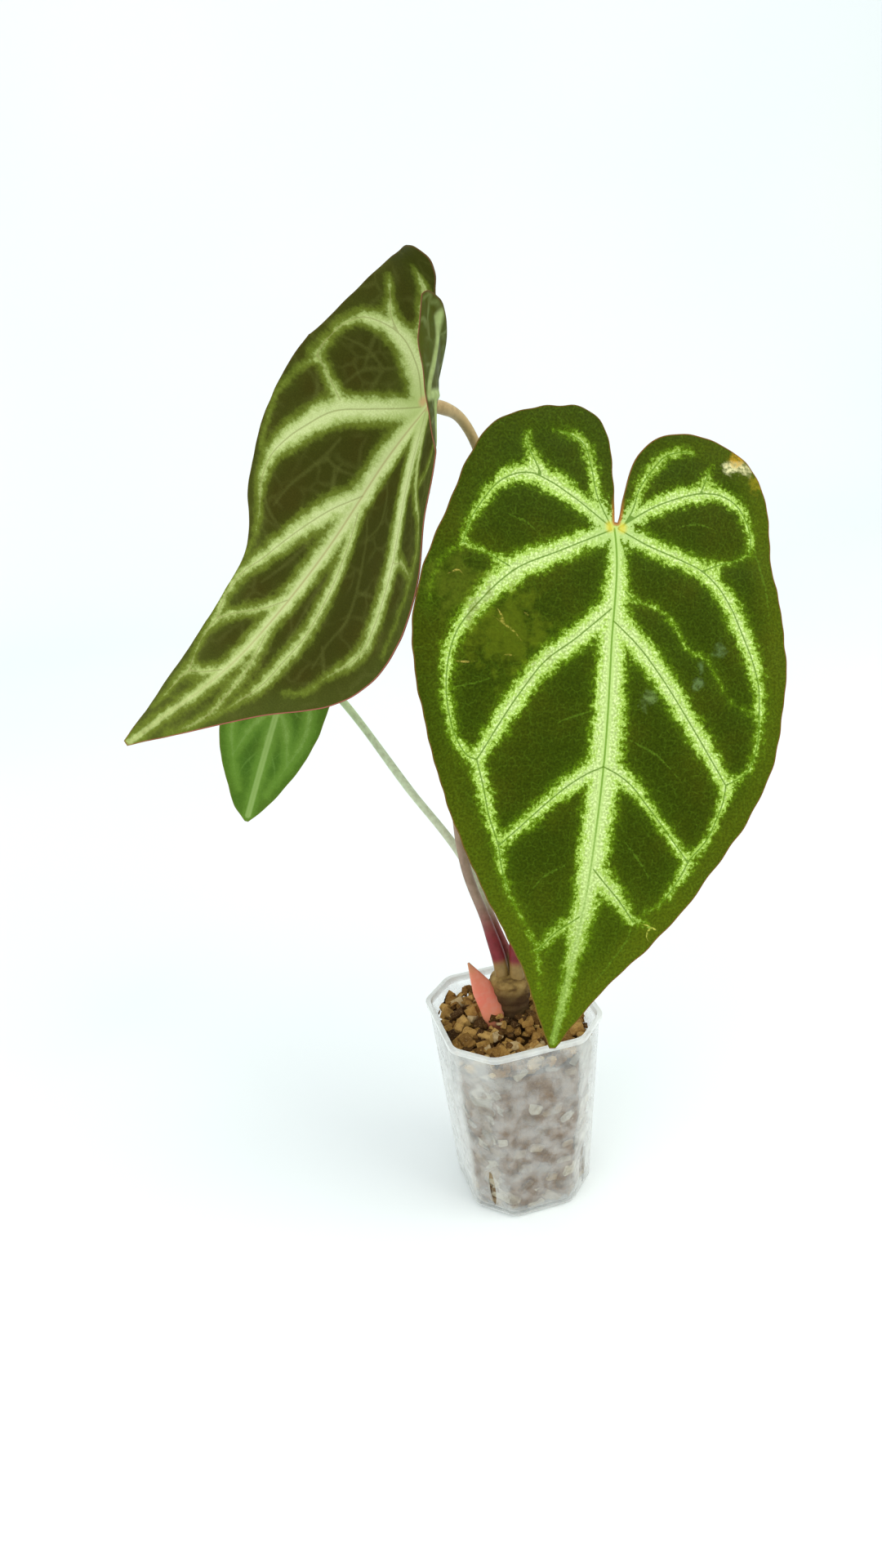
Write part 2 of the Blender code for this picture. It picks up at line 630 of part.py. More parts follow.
def build_all():
    green = plain_material("blade_green", (0.05, 0.12, 0.02), 0.45)
    olive = plain_material("blade_olive", (0.07, 0.09, 0.03), 0.5)
    light = plain_material("blade_light", (0.12, 0.28, 0.05), 0.45)
    build_pot(plain_material("clear_plastic", (0.86, 0.88, 0.9), 0.2, 0.85))
    build_medium(plain_material("bark_mix", (0.22, 0.13, 0.07), 0.9))
    build_crown(plain_material("crown_tan", (0.3, 0.25, 0.12), 0.7))
    build_blade("blade_front", FRONT_LEAF, green, 8.0)
    build_blade("blade_left", LEFT_LEAF, olive, 8.0)
    build_blade("blade_small", SMALL_LEAF, light, 6.0)
    brown = plain_material("petiole_brown", (0.32, 0.2, 0.12), 0.5)
    pale = plain_material("petiole_green", (0.42, 0.5, 0.25), 0.5)
    build_petiole("petiole_front", FRONT_PETIOLE, FRONT_LEAF, PETIOLE_FOOT_RADIUS, PETIOLE_RADIUS, brown)
    build_petiole("petiole_left", LEFT_PETIOLE, LEFT_LEAF, PETIOLE_FOOT_RADIUS, PETIOLE_RADIUS, brown)
    build_petiole("petiole_small", SMALL_PETIOLE, SMALL_LEAF, SMALL_PETIOLE_FOOT_RADIUS,
                  SMALL_PETIOLE_RADIUS, pale)
    cataphyll_shape("cataphyll", 0.0, plain_material("cataphyll_pink", (0.6, 0.22, 0.2), 0.5))


clear_scene()
build_all()
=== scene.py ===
"""Looks of a young velvet-leaved anthurium in a clear square nursery pot.

Sizes are millimetres unless a name says otherwise.  A leaf is drawn flat as (across, along) points with
the petiole joint at (0, 0) and the tip at positive "along", then bent into its place by leaf_point().
"""
import math
import random

import bmesh
import bpy
import numpy as np
from mathutils import Matrix, Vector
from mathutils.geometry import delaunay_2d_cdt


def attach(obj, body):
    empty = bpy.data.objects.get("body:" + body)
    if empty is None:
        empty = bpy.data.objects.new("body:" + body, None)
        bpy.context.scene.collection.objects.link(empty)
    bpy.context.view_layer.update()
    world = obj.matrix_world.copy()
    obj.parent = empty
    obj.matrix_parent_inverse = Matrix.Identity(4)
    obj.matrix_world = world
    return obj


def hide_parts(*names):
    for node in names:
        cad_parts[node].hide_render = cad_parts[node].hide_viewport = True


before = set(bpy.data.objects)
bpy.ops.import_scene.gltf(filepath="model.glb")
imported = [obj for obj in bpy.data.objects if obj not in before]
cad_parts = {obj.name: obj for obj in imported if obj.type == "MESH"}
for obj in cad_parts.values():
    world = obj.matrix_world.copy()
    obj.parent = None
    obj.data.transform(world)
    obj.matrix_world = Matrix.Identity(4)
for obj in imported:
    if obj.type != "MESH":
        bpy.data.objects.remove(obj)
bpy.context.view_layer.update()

MM = 0.001

# Driving sizes
POT_TOP = 60.0
POT_BASE = 48.0
POT_HEIGHT = 80.0
POT_CORNER_CUT = 12.0
POT_ROUNDING = 2.6
POT_WALL = 1.0
POT_FLOOR = 1.6
POT_LIP = 1.0
POT_LIP_HEIGHT = 2.0
SLOT_WIDTH = 3.0
SLOT_LOW = 4.0
SLOT_HIGH = 22.0
DRAIN_RADIUS = 2.2
DRAIN_RING = 14.5
DRAIN_COUNT = 8
DRAIN_TURN = 22.5
MEDIUM_BOTTOM = POT_FLOOR + 0.4
MEDIUM_LEVEL = 70.0
MEDIUM_MOUND = 5.0
MEDIUM_HEAP = 3.4
CROWN_CENTRE = (2.0, 7.0)
CROWN_TOP = 90.0
CROWN_RADIUS = 6.4
CROWN_HEAD_RADIUS = 7.5
CROWN_FOOT = 52.0
CROWN_NECK = 78.0
BLADE_THICKNESS = 0.7
EDGE_THICKNESS = 0.3
MARGIN_TAPER = 1.5
MARGIN_RIPPLE = 0.55
RIPPLE_SPACING = 24.0
SCALLOP_SPACING = 9.0
FOLD_ROUNDING = 3.0
RIB_HEIGHT = 1.1
RIB_WIDTH = 3.4
MIDRIB_GROOVE = 0.32
VEIN_GROOVE = 0.22
PETIOLE_RADIUS = 1.9
PETIOLE_FOOT_RADIUS = 2.7
SMALL_PETIOLE_RADIUS = 1.6
SMALL_PETIOLE_FOOT_RADIUS = 2.0
FOOT_REACH = 24.0
FOOT_FADE = 4.0
NECK_SWELLING = 0.22
NECK_REACH = 6.0

# The photograph's camera, fitted to the rim and base of the pot
PHOTO_HEIGHT = 1920
FOCAL_PIXELS = 1442.0
CAMERA_PLACE = (-109.6, -360.4, 336.3)
CAMERA_ELEVATION = 23.35
CAMERA_AZIMUTH = -13.95
CAMERA_ROLL = -5.10

# Floor and light, in metres
FLOOR_HALF = 4.0
SWEEP_START = 0.9
SWEEP_RADIUS = 0.5
SWEEP_TOP = 1.9
SWEEP_STEPS = 16
LIGHT_AIM = (0.0, 0.0, 0.2)
ROOM_COLOUR = (0.96, 0.985, 1.0, 1.0)
ROOM_STRENGTH = 0.97

# Fineness and random draws of the meshes
BLADE_GRID = 1.15
LINE_STEP = 1.1
STALK_STEP = 1.6
SHEATH_STEP = 0.8
SCALLOP_SEED = 17
BACK_SHIFT = 40.0
STALK_SIDES = 20
CROWN_SIDES = 48
CROWN_RINGS = 46
SHEATH_SIDES = 28
ROUNDING_POINTS = 7
TOP_CHIPS = 420
TOP_CHIP_SIZES = (2.4, 3.2, 4.0, 5.0, 6.5)
WALL_CHIP_ROWS = 13
WALL_CHIP_COLUMNS = 34
WALL_CHIP_SIZES = (4.5, 10.0)
WALL_CLEARANCE = (0.6, 2.0)
STREW_RADIUS = 28.5
GOLDEN_ANGLE = 2.39996
CHIP_BLUNTING = 0.035
CORE_TINT = 0.24
CHIP_SEED = 29

# Each vein: its points, then its silver half-widths at even steps from its start to its end.
# Each spot: its place across and along, its radius, its colour and how far it covers.
FRONT_LEAF = dict(
    joint=(46.8, 0.1, 255.1), heading=2, lean=23, turn=-14, length=165, lobe=36, bend=12, lobe_bend=6,
    fold=(2, 2, 2), twist=(0, 4), wave=0, right_lobe_lift=0, scallop=0.26, seed=3, quilt=0.45,
    slot="blade_green",
    left_edge=[
        (-0.5, -1.5), (-2.5, -26), (-4, -32), (-7, -36.5), (-12, -39), (-19, -39), (-28, -37), (-37, -33.5),
        (-45, -28), (-51, -18.5), (-58, 0), (-65, 19), (-67.5, 33), (-67, 45), (-64.5, 59), (-56.5, 84),
        (-47, 106.5), (-35, 127), (-23.5, 146.5), (-13.5, 169), (-10.8, 174.5),
    ],
    right_edge=[
        (-8.6, 174.5), (-1.5, 163.5), (12.5, 146.5), (33.5, 122), (44.5, 105.5), (58, 79), (62, 55),
        (62, 35), (56.5, 8), (54.5, -9), (51.5, -19), (44, -28.5), (34, -33.5), (21.5, -34), (13, -31),
        (8, -26), (0.5, -1.5),
    ],
    midrib=([(-0.5, 0.5), (0, 3.5), (0, 40), (-0.4, 75), (-1.7, 100), (-3.2, 120), (-5.7, 140), (-8.3, 160),
            (-9.9, 172)], [1.5, 4.2, 4.6, 5.4, 5.4, 5, 3.6, 1.5, 0.4]),
    veins=[
        ([(-2, -0.5), (-7.1, -10), (-9.3, -19), (-12.1, -26.5), (-16.4, -29), (-23, -30)],
         [1.8, 1.3, 1.4, 1.2, 0.9, 0.3]),
        ([(-2, 0), (-15.7, -8.5), (-24.3, -12.8), (-30, -14.5), (-35.7, -13.5), (-41.4, -10), (-46.4, -3.6),
         (-50, 2.5), (-52.5, 10.5)], [2.2, 2.8, 3.6, 3.3, 1.6, 0.8, 0.5]),
        ([(-27, -15), (-30, -20.5), (-32, -25), (-31.4, -28.5)], [3, 1, 0.3]),
        ([(-52.5, 10.5), (-44.3, 13), (-36.4, 16.5)], [0.4, 0.4, 1.4]),
        ([(-52.5, 10.5), (-58, 15), (-61.4, 22), (-63, 32)], [0.3, 0.1, 0]),
        ([(-1.5, 1), (-20, 10), (-34, 17), (-45, 27.5), (-53.5, 40), (-55.5, 50), (-54.5, 63), (-50, 74.5),
         (-47, 78), (-44, 79)], [2.6, 3.2, 3.8, 4, 3, 1.8, 1.1, 0.8, 1.2]),
        ([(-0.5, 27), (-12.9, 38), (-22.9, 46), (-31, 57), (-44, 79)], [4.2, 3.5, 3.2, 3, 2]),
        ([(-44, 79), (-41.4, 87), (-38.6, 97), (-34.8, 106.4), (-33, 114), (-29.3, 123), (-24.3, 131),
         (-18.6, 141), (-17, 151), (-15.5, 161)], [2, 1.7, 0.9, 0.5, 0.3, 0.3, 0.1]),
        ([(-0.5, 79), (-5, 81), (-11.4, 85), (-18.6, 91), (-27, 99), (-34.8, 106.4)], [4, 3, 2, 1.7, 1.2]),
        ([(-5, 129), (-12.9, 134.5), (-18.6, 141)], [1.6, 1.2, 0.6]),
        ([(2.5, -0.5), (5.7, -6.4), (7.9, -13.6), (12, -20), (17, -25.7), (22.9, -27.9), (29, -27.9)],
         [1.8, 1.2, 1.1, 1, 0.3]),
        ([(1, 0), (14.3, -8.6), (22, -12), (30, -14.3), (37, -14.3), (42.9, -11.4), (46.4, -6.4),
         (48.3, -0.7), (47.9, 5)], [2.2, 2.6, 2.9, 2.5, 1.2, 0.5]),
        ([(30, -15), (33.5, -24)], [1.8, 0.2]),
        ([(47.9, 5), (42.9, 7.3), (37, 9.3), (31, 12)], [0.4, 0.5, 1.8]),
        ([(1, 0.5), (11.4, 5), (21.4, 8.3), (31, 12), (37, 17), (41.8, 23.6), (46, 32), (50, 40.7),
         (52.6, 49.3), (53.2, 58), (53.2, 67), (51.8, 74), (50, 78), (42.5, 83)],
         [2.6, 2.8, 2.6, 2.4, 2.7, 2.9, 2.3, 1.4, 0.8, 0.6, 0.9]),
        ([(0.5, 31), (10, 39.3), (17.5, 48), (30, 65), (42.5, 83)], [4, 3.6, 3.2, 2.9, 2]),
        ([(42.5, 83), (42, 88), (40, 94.3), (37, 101.4), (31.4, 108.6), (28.6, 114.3), (24.5, 121),
         (14.5, 129.5)], [1.9, 0.8, 0.9, 1.1, 0.5, 0.1]),
        ([(-0.5, 79), (5, 81.6), (9.5, 84.8), (14.3, 90), (21.4, 98), (31, 109.4)],
         [3.6, 2.4, 1.1, 0.9, 1.5]),
        ([(-1.5, 113), (2, 116.8), (7.9, 122.9), (13.6, 130)], [3.2, 3, 2.2, 0.8]),
        ([(4, 21), (8, 24), (14.5, 25.3), (20.5, 29.5), (23.5, 33.5), (25.5, 37.5), (30, 40), (33.5, 42),
         (37, 47), (39.5, 51), (45, 56.5), (52, 59)], [0.6, 0.4, 0.3, 0.3, 0.3, 0.2, 0.1, 0.1]),
        ([(13.6, 130), (17, 129.6), (19.3, 131.2)], [0.5, 0.2]),
    ],
    fine_veins=[
        [(-38, 0), (-31.4, 2), (-25.7, 6.4)], [(-53.6, 56.5), (-47, 55), (-39.3, 52)],
        [(22, -2), (28, -3.5), (36, -2)], [(8, 70), (17, 74), (26, 82)],
        [(-7, 61.5), (-13, 63.5), (-19.3, 66.4)], [(-12, 112), (-19, 116), (-24, 123)],
        [(8, 103), (14, 110), (19, 117)], [(48.5, -1), (51.4, 8.6), (54.3, 18.6), (55.7, 30)],
        [(13.6, 130), (11.4, 137), (7, 144), (2, 152)],
    ],
    scratches=[
        [(-41.5, 33), (-38, 35), (-34, 37.5), (-31, 40.5), (-28, 42.5)], [(-40, 30.5), (-37, 35)],
        [(-53, 48.2), (-49, 48.2), (-45, 47.6)], [(-37, 45), (-33, 45)],
        [(-57, 21), (-53.5, 19.5), (-51, 22)], [(-31, 31), (-29, 32)],
        [(16.2, 130.4), (19.5, 131.5), (18.5, 134.3), (20.5, 137.6)], [(19.5, 131.5), (22.8, 132.6)],
    ],
    spots=[
        (40.5, -24, 3, (214, 212, 158), 0.95),
        (44.5, -24, 3, (208, 204, 150), 0.95),
        (42.5, -28, 4, (176, 138, 36), 0.8),
        (51, -19.5, 3.6, (140, 128, 26), 0.7),
        (-36, 37, 16, (94, 108, 18), 0.5),
        (-54, 24, 11, (92, 104, 24), 0.45),
        # The four pale bluish spots below are painted sheen: glints of light on the velvet, not marks of the
        # leaf.
        (38, 38, 2.8, (108, 136, 84), 0.4),
        (31.5, 44, 2.6, (108, 136, 84), 0.4),
        (30.5, 50, 2.4, (116, 144, 90), 0.4),
        (13.5, 56, 3.4, (130, 156, 92), 0.4),
    ],
    stalk=[
        (4, 4, 84), (4, 4, 92), (5.5, 7, 108), (12, 15, 138), (22, 22, 175), (34, 25, 212), (43, 22, 238),
        (46.5, 14, 249.5), (46.8, 8, 252),
    ],
    stalk_radii=(PETIOLE_FOOT_RADIUS, PETIOLE_RADIUS),
)
LEFT_LEAF = dict(
    joint=(-2.8, 41.6, 296.3), heading=-58, lean=15, turn=-31, length=165, lobe=42, bend=-54, lobe_bend=-47,
    fold=(33, 38, -19), twist=(20, -15), wave=2.5, right_lobe_lift=5, scallop=0.08, seed=5, quilt=0.5,
    slot="blade_olive",
    left_edge=[
        (-0.5, -1.5), (-3, -12), (-6, -25), (-7, -38), (-4.6, -47), (-4.6, -53.5), (-8.8, -56.2),
        (-13.8, -54), (-21, -47.5), (-33, -34), (-40, -20), (-45, -3), (-49, 13), (-51, 28), (-51, 42),
        (-48, 55), (-43, 67), (-35, 77), (-29.5, 87.5), (-26.5, 103), (-23.5, 118), (-19, 133), (-14, 147),
        (-8, 158.5), (-2.5, 168.5),
    ],
    right_edge=[
        (0, 168.5), (4, 157), (12, 138), (20.5, 123), (32, 109), (40, 98), (45, 87), (48, 70), (49.5, 50),
        (48, 30), (45.5, 13), (42, -5), (36.5, -21), (28, -33), (18.5, -42.5), (11, -48.5), (5.8, -50),
        (3.2, -43), (2.4, -30), (1.8, -14), (0.5, -1.5),
    ],
    midrib=([(0.8, 0.5), (-1.8, 10), (-4.2, 25), (-5, 40), (-5, 60), (-4.8, 80), (-4.2, 98), (-3.2, 115),
            (-2.9, 135), (-2.9, 150), (-1.8, 160), (-0.8, 167)],
            [3.4, 4, 3.8, 3.6, 3.4, 3.2, 3, 2.7, 2.3, 1.9, 1.4, 0.8]),
    veins=[
        ([(-2, 2), (-8, 6), (-17.5, 12), (-28.5, 20), (-35, 30), (-39.8, 40), (-42.2, 50), (-40.5, 60),
         (-35.4, 69), (-31, 78), (-29, 86)], [3.2, 3.8, 4.2, 4.3, 4.2, 3.7, 2.4, 1, 0.5, 0.3, 0.1]),
        ([(-3, 0), (-10, -10.5), (-18, -17.5), (-25, -19), (-32, -18), (-37, -12.5), (-39.8, -3),
         (-41, 4.5)], [3.4, 4.6, 4.4, 3, 1, 0.5, 0.8]),
        ([(-41, 4.5), (-35.5, 9), (-28, 15)], [0.9, 0.8, 2]),
        ([(-41, 6), (-46, 15), (-50, 28), (-49.3, 40), (-47, 50)], [0.3, 0.1, 0]),
        ([(-19, -18), (-23, -23), (-24.5, -29), (-26, -36)], [2.2, 1.2, 0.6, 0.2]),
        ([(-8, -12), (-10.5, -21), (-10.8, -30), (-11.5, -36.5), (-14.5, -43)], [2.2, 2, 1.7, 1.2, 0.4]),
        ([(-5, 40), (-12, 51), (-17.5, 64), (-20.6, 74), (-23, 84), (-25.4, 92), (-25.6, 100), (-23.6, 108),
         (-21, 113)], [3.4, 3.8, 3.6, 2.9, 2.5, 2, 1.4, 1, 1.2]),
        ([(-5, 88), (-9.4, 96), (-14, 102), (-18.4, 108), (-21, 113)], [2.6, 1.5, 0.9, 0.9, 1.2]),
        ([(-21, 113), (-20, 121), (-16, 129), (-12.5, 134)], [1, 0.5, 0.4, 0.8]),
        ([(-4, 124), (-8.4, 130), (-12.5, 134), (-11.8, 142), (-9, 152)], [2, 1.2, 0.9, 0.4, 0.1]),
        ([(1, 2), (7, 9), (13, 17.5), (19, 27), (24, 35.5), (29, 46), (32, 58), (34.2, 70), (35, 80),
         (31.8, 89.5), (28.4, 97), (26.5, 105), (20, 112)],
         [4.6, 5.2, 4.8, 4.2, 3.6, 3.2, 2.8, 2.3, 1.9, 1, 0.4, 0.2, 0]),
        ([(31, 46), (35, 43.5), (42, 43.8)], [1.6, 0.8, 0.5]),
        ([(6, 3), (15, 9.5), (21, 15), (27, 19.3), (34, 22.3), (40, 24.6), (43.6, 30), (44, 43), (43.7, 60),
         (44, 75)], [2.6, 1.8, 1.3, 0.9, 0.5, 0.3, 0.1, 0, 0]),
        ([(-3, 46), (0, 54), (3.2, 62), (6.6, 72), (9, 82), (10.8, 92), (11, 105), (11.4, 117), (10.2, 125),
         (8.2, 138)], [1.6, 2, 2.2, 2, 1.8, 1.9, 1.8, 1.3, 0.4, 0.1]),
        ([(-2, 103), (1, 111), (3.4, 119), (5, 128), (6.5, 136), (6, 145), (3.4, 155)],
         [1.5, 1.3, 1, 0.8, 0.6, 0.5, 0.1]),
        ([(2, -1), (14, -10), (25, -17.5), (32, -23.5)], [2.6, 2.2, 1.6, 1.2]),
        ([(32, -23.5), (27, -26), (18, -27.5), (9, -31), (5, -37)], [1.2, 2, 2.2, 1.8, 0.8]),
        ([(25, -17.5), (33, -8), (37, 4), (30, 16)], [1.6, 0.8, 0.4, 0.4]),
    ],
    fine_veins=[
        [(-22, 27), (-24, 36), (-27, 45), (-30, 54), (-31, 64)], [(-24, 36), (-18, 37), (-10, 35)],
        [(-19, 37), (-16, 44), (-15, 50)], [(-38, 63), (-32, 67), (-22, 70)],
        [(3, 45), (9, 50), (14, 57), (19, 66), (22, 76), (21, 88), (22, 98)], [(19, 66), (25, 63), (31, 61)],
        [(20, 90), (25, 94), (28, 97)], [(2, 30), (8, 34), (12, 42), (9, 50)],
        [(-14, -7), (-19, -3), (-25, 1), (-29, 9)], [(-19, -3), (-27, -7), (-36, -7)],
        [(-19, -3), (-20, 5), (-22, 13)], [(-25, -18), (-26, -10), (-25, 1)],
        [(-39, 10), (-36, 18), (-38, 26)], [(-12, 66), (-14, 78), (-17, 90)],
        [(2, 62), (2, 74), (4, 86), (7, 98)],
    ],
    scratches=[],
    spots=[],
    stalk=[
        (-1, 7.2, 84), (-1, 7.6, 92), (-3.4, 12, 108), (-8.4, 19.5, 131), (-8.4, 26.5, 151),
        (-2.5, 36.5, 178), (7.5, 48.5, 212), (17.3, 56.5, 240), (21.5, 58.5, 261), (18.5, 57, 278),
        (11, 52, 290), (4, 46, 294),
    ],
    stalk_radii=(PETIOLE_FOOT_RADIUS, PETIOLE_RADIUS),
)
SMALL_LEAF = dict(
    joint=(-48.5, 118.9, 196), heading=-12, lean=17, turn=-23, length=79, lobe=20, bend=22, lobe_bend=12,
    fold=(12, 12, 4), twist=(0, -5), wave=1, right_lobe_lift=0, scallop=0.12, seed=7, quilt=0.3,
    slot="blade_light",
    left_edge=[
        (-0.5, -1), (-2, -9), (-4, -15.5), (-9, -18.5), (-15.5, -16), (-19.5, -8), (-22, 3), (-23.5, 17),
        (-23, 32), (-19.5, 47), (-12.5, 62), (-5.5, 74), (-0.8, 79),
    ],
    right_edge=[
        (0.8, 79), (4.5, 73.5), (10.5, 62), (16.5, 47), (20, 32), (21, 16), (20.5, 3), (18, -8), (14, -15),
        (9, -17.5), (4.5, -14.5), (2, -8.5), (0.5, -1),
    ],
    midrib=([(0, 0.5), (0, 25), (0, 50), (0, 76)], [1.2, 1.6, 1.4, 0.9, 0.3]),
    veins=[
        ([(-1, 1), (-9, 8), (-15, 20), (-17, 34), (-13, 50), (-7, 64)], [1, 1.2, 1, 0.5, 0.2]),
        ([(1, 1), (8, 8), (13, 20), (14.5, 34), (10.5, 49), (5, 64)], [1, 1.2, 1, 0.5, 0.2]),
        ([(0, 24), (-8, 35), (-13, 50)], [1, 0.9, 0.4]),
        ([(0, 24), (6.5, 35), (10.5, 49)], [1, 0.9, 0.4]),
        ([(-0.5, -0.5), (-8, -7), (-13, -8), (-17, 0)], [0.9, 0.8, 0.4]),
        ([(0.5, -0.5), (7, -7), (12, -8), (15.5, 0)], [0.9, 0.8, 0.4]),
    ],
    fine_veins=[
        [(-2, 44), (-7, 52), (-9, 60)], [(2, 44), (6, 52), (7.5, 59)], [(-6, 20), (-11, 26), (-15, 27)],
        [(5, 20), (9, 26), (13, 27)],
    ],
    scratches=[],
    spots=[],
    stalk=[
        (3.6, 10.2, 84), (3.6, 10.4, 91), (1.2, 17, 103), (-4, 35.5, 124.6), (-17.4, 66, 147.6),
        (-31.5, 106, 172.2), (-37.5, 121, 180.5), (-43.5, 129, 189.5), (-46.7, 127, 193.5),
    ],
    stalk_radii=(SMALL_PETIOLE_FOOT_RADIUS, SMALL_PETIOLE_RADIUS),
)
CATAPHYLL = [(-6, 1.8, 66), (-6.6, 2.8, 76), (-9.4, 5.6, 86), (-13.2, 10, 96.5)]
CATAPHYLL_WIDTHS = [2.8, 5, 4.4, 0.4]
CATAPHYLL_DEPTHS = [1.4, 1.5, 1.2, 0.35]
SHEATH_FACING = (0.25, -0.9, 0.3)

# Numbers and colours of the blades: front, left, small
LOOK_NUMBERS = dict(
    gloss=(0.02, 0.03, 0.06), rough=(0.42, 0.5, 0.45), wander=(5, 4, 3), fray=(7, 3.6, 2),
    dither=(3.4, 1, 1), soft=(0.5, 1.1, 1.2), grain_size=(0.8, 0.6, 0.6), brown_share=(0.3, 0.34, 0.4),
    net=(8, 9, 6), net_width=(0.3, 1.5, 0.5), net_share=(0.1, 0.3, 0.2), close_share=(0.16, 0.06, 0.1),
    fine_width=(0.6, 1.5, 0.8), fine_share=(0.42, 0.42, 0.4), fringe_share=(0.55, 0.6, 0.6),
    tip_fade=(0.85, 0.4, 0), lobe_fade=(0.65, 0.3, 0), lobe_share=(0.4, 0.3, 0),
    silver_grain=(0.26, 0.08, 0.08), cell_grain=(0.24, 0.1, 0.08), sparkle_share=(0.55, 0.25, 0.2),
    line_share=(0.85, 0.6, 0.5), tip_line=(0.2, 0.3, 0.8), near_share=(0.05, 0.2, 0.3),
    tip_share=(0.35, 0.3, 0), border_share=(0.42, 0.32, 0.3), border_left=(0.08, 0.06, 0.3),
    rim_left=(0.5, 0.1, 0.8), rib_edge=((0.7, 1.9), (0.8, 3.4), (0.5, 1.4)),
)
LOOK_COLOURS = dict(
    brown=((70, 70, 8), (66, 54, 14), (86, 104, 32)),
    fine=((92, 126, 30), (88, 92, 40), (112, 148, 64)),
    fringe=((100, 136, 18), (112, 128, 42), (104, 142, 50)),
    faded=((126, 154, 54), (160, 176, 104), (104, 142, 50)),
    silver=((178, 201, 124), (196, 208, 142), (140, 170, 86)),
    soft_silver=((154, 188, 76), (164, 181, 102), (124, 156, 70)),
    # sparkle is the colour of painted glints on the silver bands
    sparkle=((214, 232, 170), (200, 212, 160), (166, 192, 124)),
    web=((168, 194, 118), (172, 188, 116), (142, 170, 92)),
    strip=((174, 202, 116), (192, 202, 138), (150, 178, 100)),
    midrib=((100, 140, 34), (164, 150, 98), (132, 164, 82)),
    lateral=((84, 118, 22), (140, 142, 84), (112, 146, 66)),
    scratch=((190, 172, 80), (120, 112, 60), (120, 150, 70)),
    crack=((214, 216, 96), (120, 112, 60), (120, 150, 70)),
    joint=((204, 192, 66), (196, 158, 112), (170, 176, 92)),
    notch=((166, 102, 48), (184, 116, 92), (130, 140, 70)),
    near=((70, 100, 16), (112, 126, 52), (92, 130, 44)),
    tip=((84, 104, 12), (90, 102, 40), (92, 120, 30)),
    border=((88, 102, 14), (86, 98, 38), (92, 124, 34)),
    rim=((126, 82, 46), (170, 96, 86), (116, 116, 52)),
    back_rim=((126, 92, 50), (84, 70, 36), (116, 116, 52)),
    back=((102, 132, 66), (64, 74, 16), (106, 138, 70)),
    back_rib=((150, 172, 108), (150, 168, 104), (152, 176, 112)),
)
CELL_COLOURS = [
    [(0, (74, 102, 8)), (0.14, (61, 83, 7)), (0.3, (51, 68, 5)), (0.8, (46, 60, 4))],
    [(0, (84, 96, 28)), (0.14, (68, 76, 18)), (0.32, (60, 65, 15)), (0.8, (56, 58, 13))],
    [(0, (96, 132, 46)), (0.3, (76, 112, 30)), (0.8, (62, 98, 24))],
]

# Stalk colours: low, middle, high, foot and heel
BROWN_STALK = [(150, 126, 108), (160, 136, 110), (184, 158, 108), (126, 36, 42), (150, 122, 70)]
PALE_STALK = [(190, 192, 164), (196, 208, 174), (174, 196, 136), (134, 62, 58), (142, 120, 76)]

# Browns of the bark, each with its place in the range of tints
TOP_BROWNS = [(0, (66, 44, 22)), (0.22, (112, 79, 37)), (0.45, (152, 114, 56)), (0.66, (180, 140, 75)),
              (0.86, (196, 158, 91)), (0.97, (200, 176, 130))]
# The wall browns are greyer and paler than the top ones: partly their own colour, partly painted light that
# brightens chips behind the cloudy wall.
WALL_BROWNS = [(0, (108, 88, 64)), (0.2, (126, 106, 80)), (0.42, (148, 128, 98)), (0.62, (166, 148, 118)),
               (0.8, (142, 138, 124)), (0.94, (190, 182, 158))]

# Where the yellow of a leaf joint is strongest, on the flat leaf and mirrored on its left
JOINT_SPOT = (2.2, 0.3, 0.0)

# Geometry helpers


def loft(bm, rings):
    """A closed skin over rings of points, one above the other."""
    rows = [[bm.verts.new(p) for p in ring] for ring in rings]
    for lower, upper in zip(rows[:-1], rows[1:]):
        for i in range(len(lower)):
            j = (i + 1) % len(lower)
            bm.faces.new((lower[i], lower[j], upper[j], upper[i]))
    bm.faces.new(rows[0][::-1])
    bm.faces.new(rows[-1])


def smooth_line(points, step):
    """A rounded line through the points, sampled about every step."""
    points = np.array(points, float)
    lengths = np.linalg.norm(np.diff(points, axis=0), axis=1)
    at = np.concatenate([[0.0], np.cumsum(lengths)])
    slopes = np.gradient(points, at, axis=0)
    count = max(2, int(round(at[-1] / step)) + 1)
    where = np.linspace(0.0, at[-1], count)
    index = np.clip(np.searchsorted(at, where, side="right") - 1, 0, len(at) - 2)
    span = lengths[index][:, None]
    u = (where[:, None] - at[index][:, None]) / span
    start = (1 + 2 * u) * (1 - u) ** 2 * points[index] + u * (1 - u) ** 2 * span * slopes[index]
    finish = u * u * (3 - 2 * u) * points[index + 1] + u * u * (u - 1) * span * slopes[index + 1]
    return start + finish


def leaf_axes(leaf):
    """The directions to the right, to the tip and out of the face of a leaf, at its joint."""
    heading, lean, turn = (math.radians(leaf[key]) for key in ("heading", "lean", "turn"))
    right = np.array([math.cos(heading), math.sin(heading), 0.0])
    level = np.array([math.sin(heading), -math.cos(heading), 0.0])
    face = level * math.cos(lean) + np.array([0.0, 0.0, math.sin(lean)])
    tip = np.cross(right, face)
    return (right * math.cos(turn) - tip * math.sin(turn),
            tip * math.cos(turn) + right * math.sin(turn),
            face)


def leaf_pitch(leaf, along):
    """How far the midrib line has bent back from the face, in radians."""
    toward_tip = math.radians(leaf["bend"]) * (np.clip(along, 0, None) / leaf["length"]) ** 1.5
    toward_lobe = math.radians(leaf["lobe_bend"]) * np.clip(-along, 0, None) / leaf["lobe"]
    return toward_tip - toward_lobe


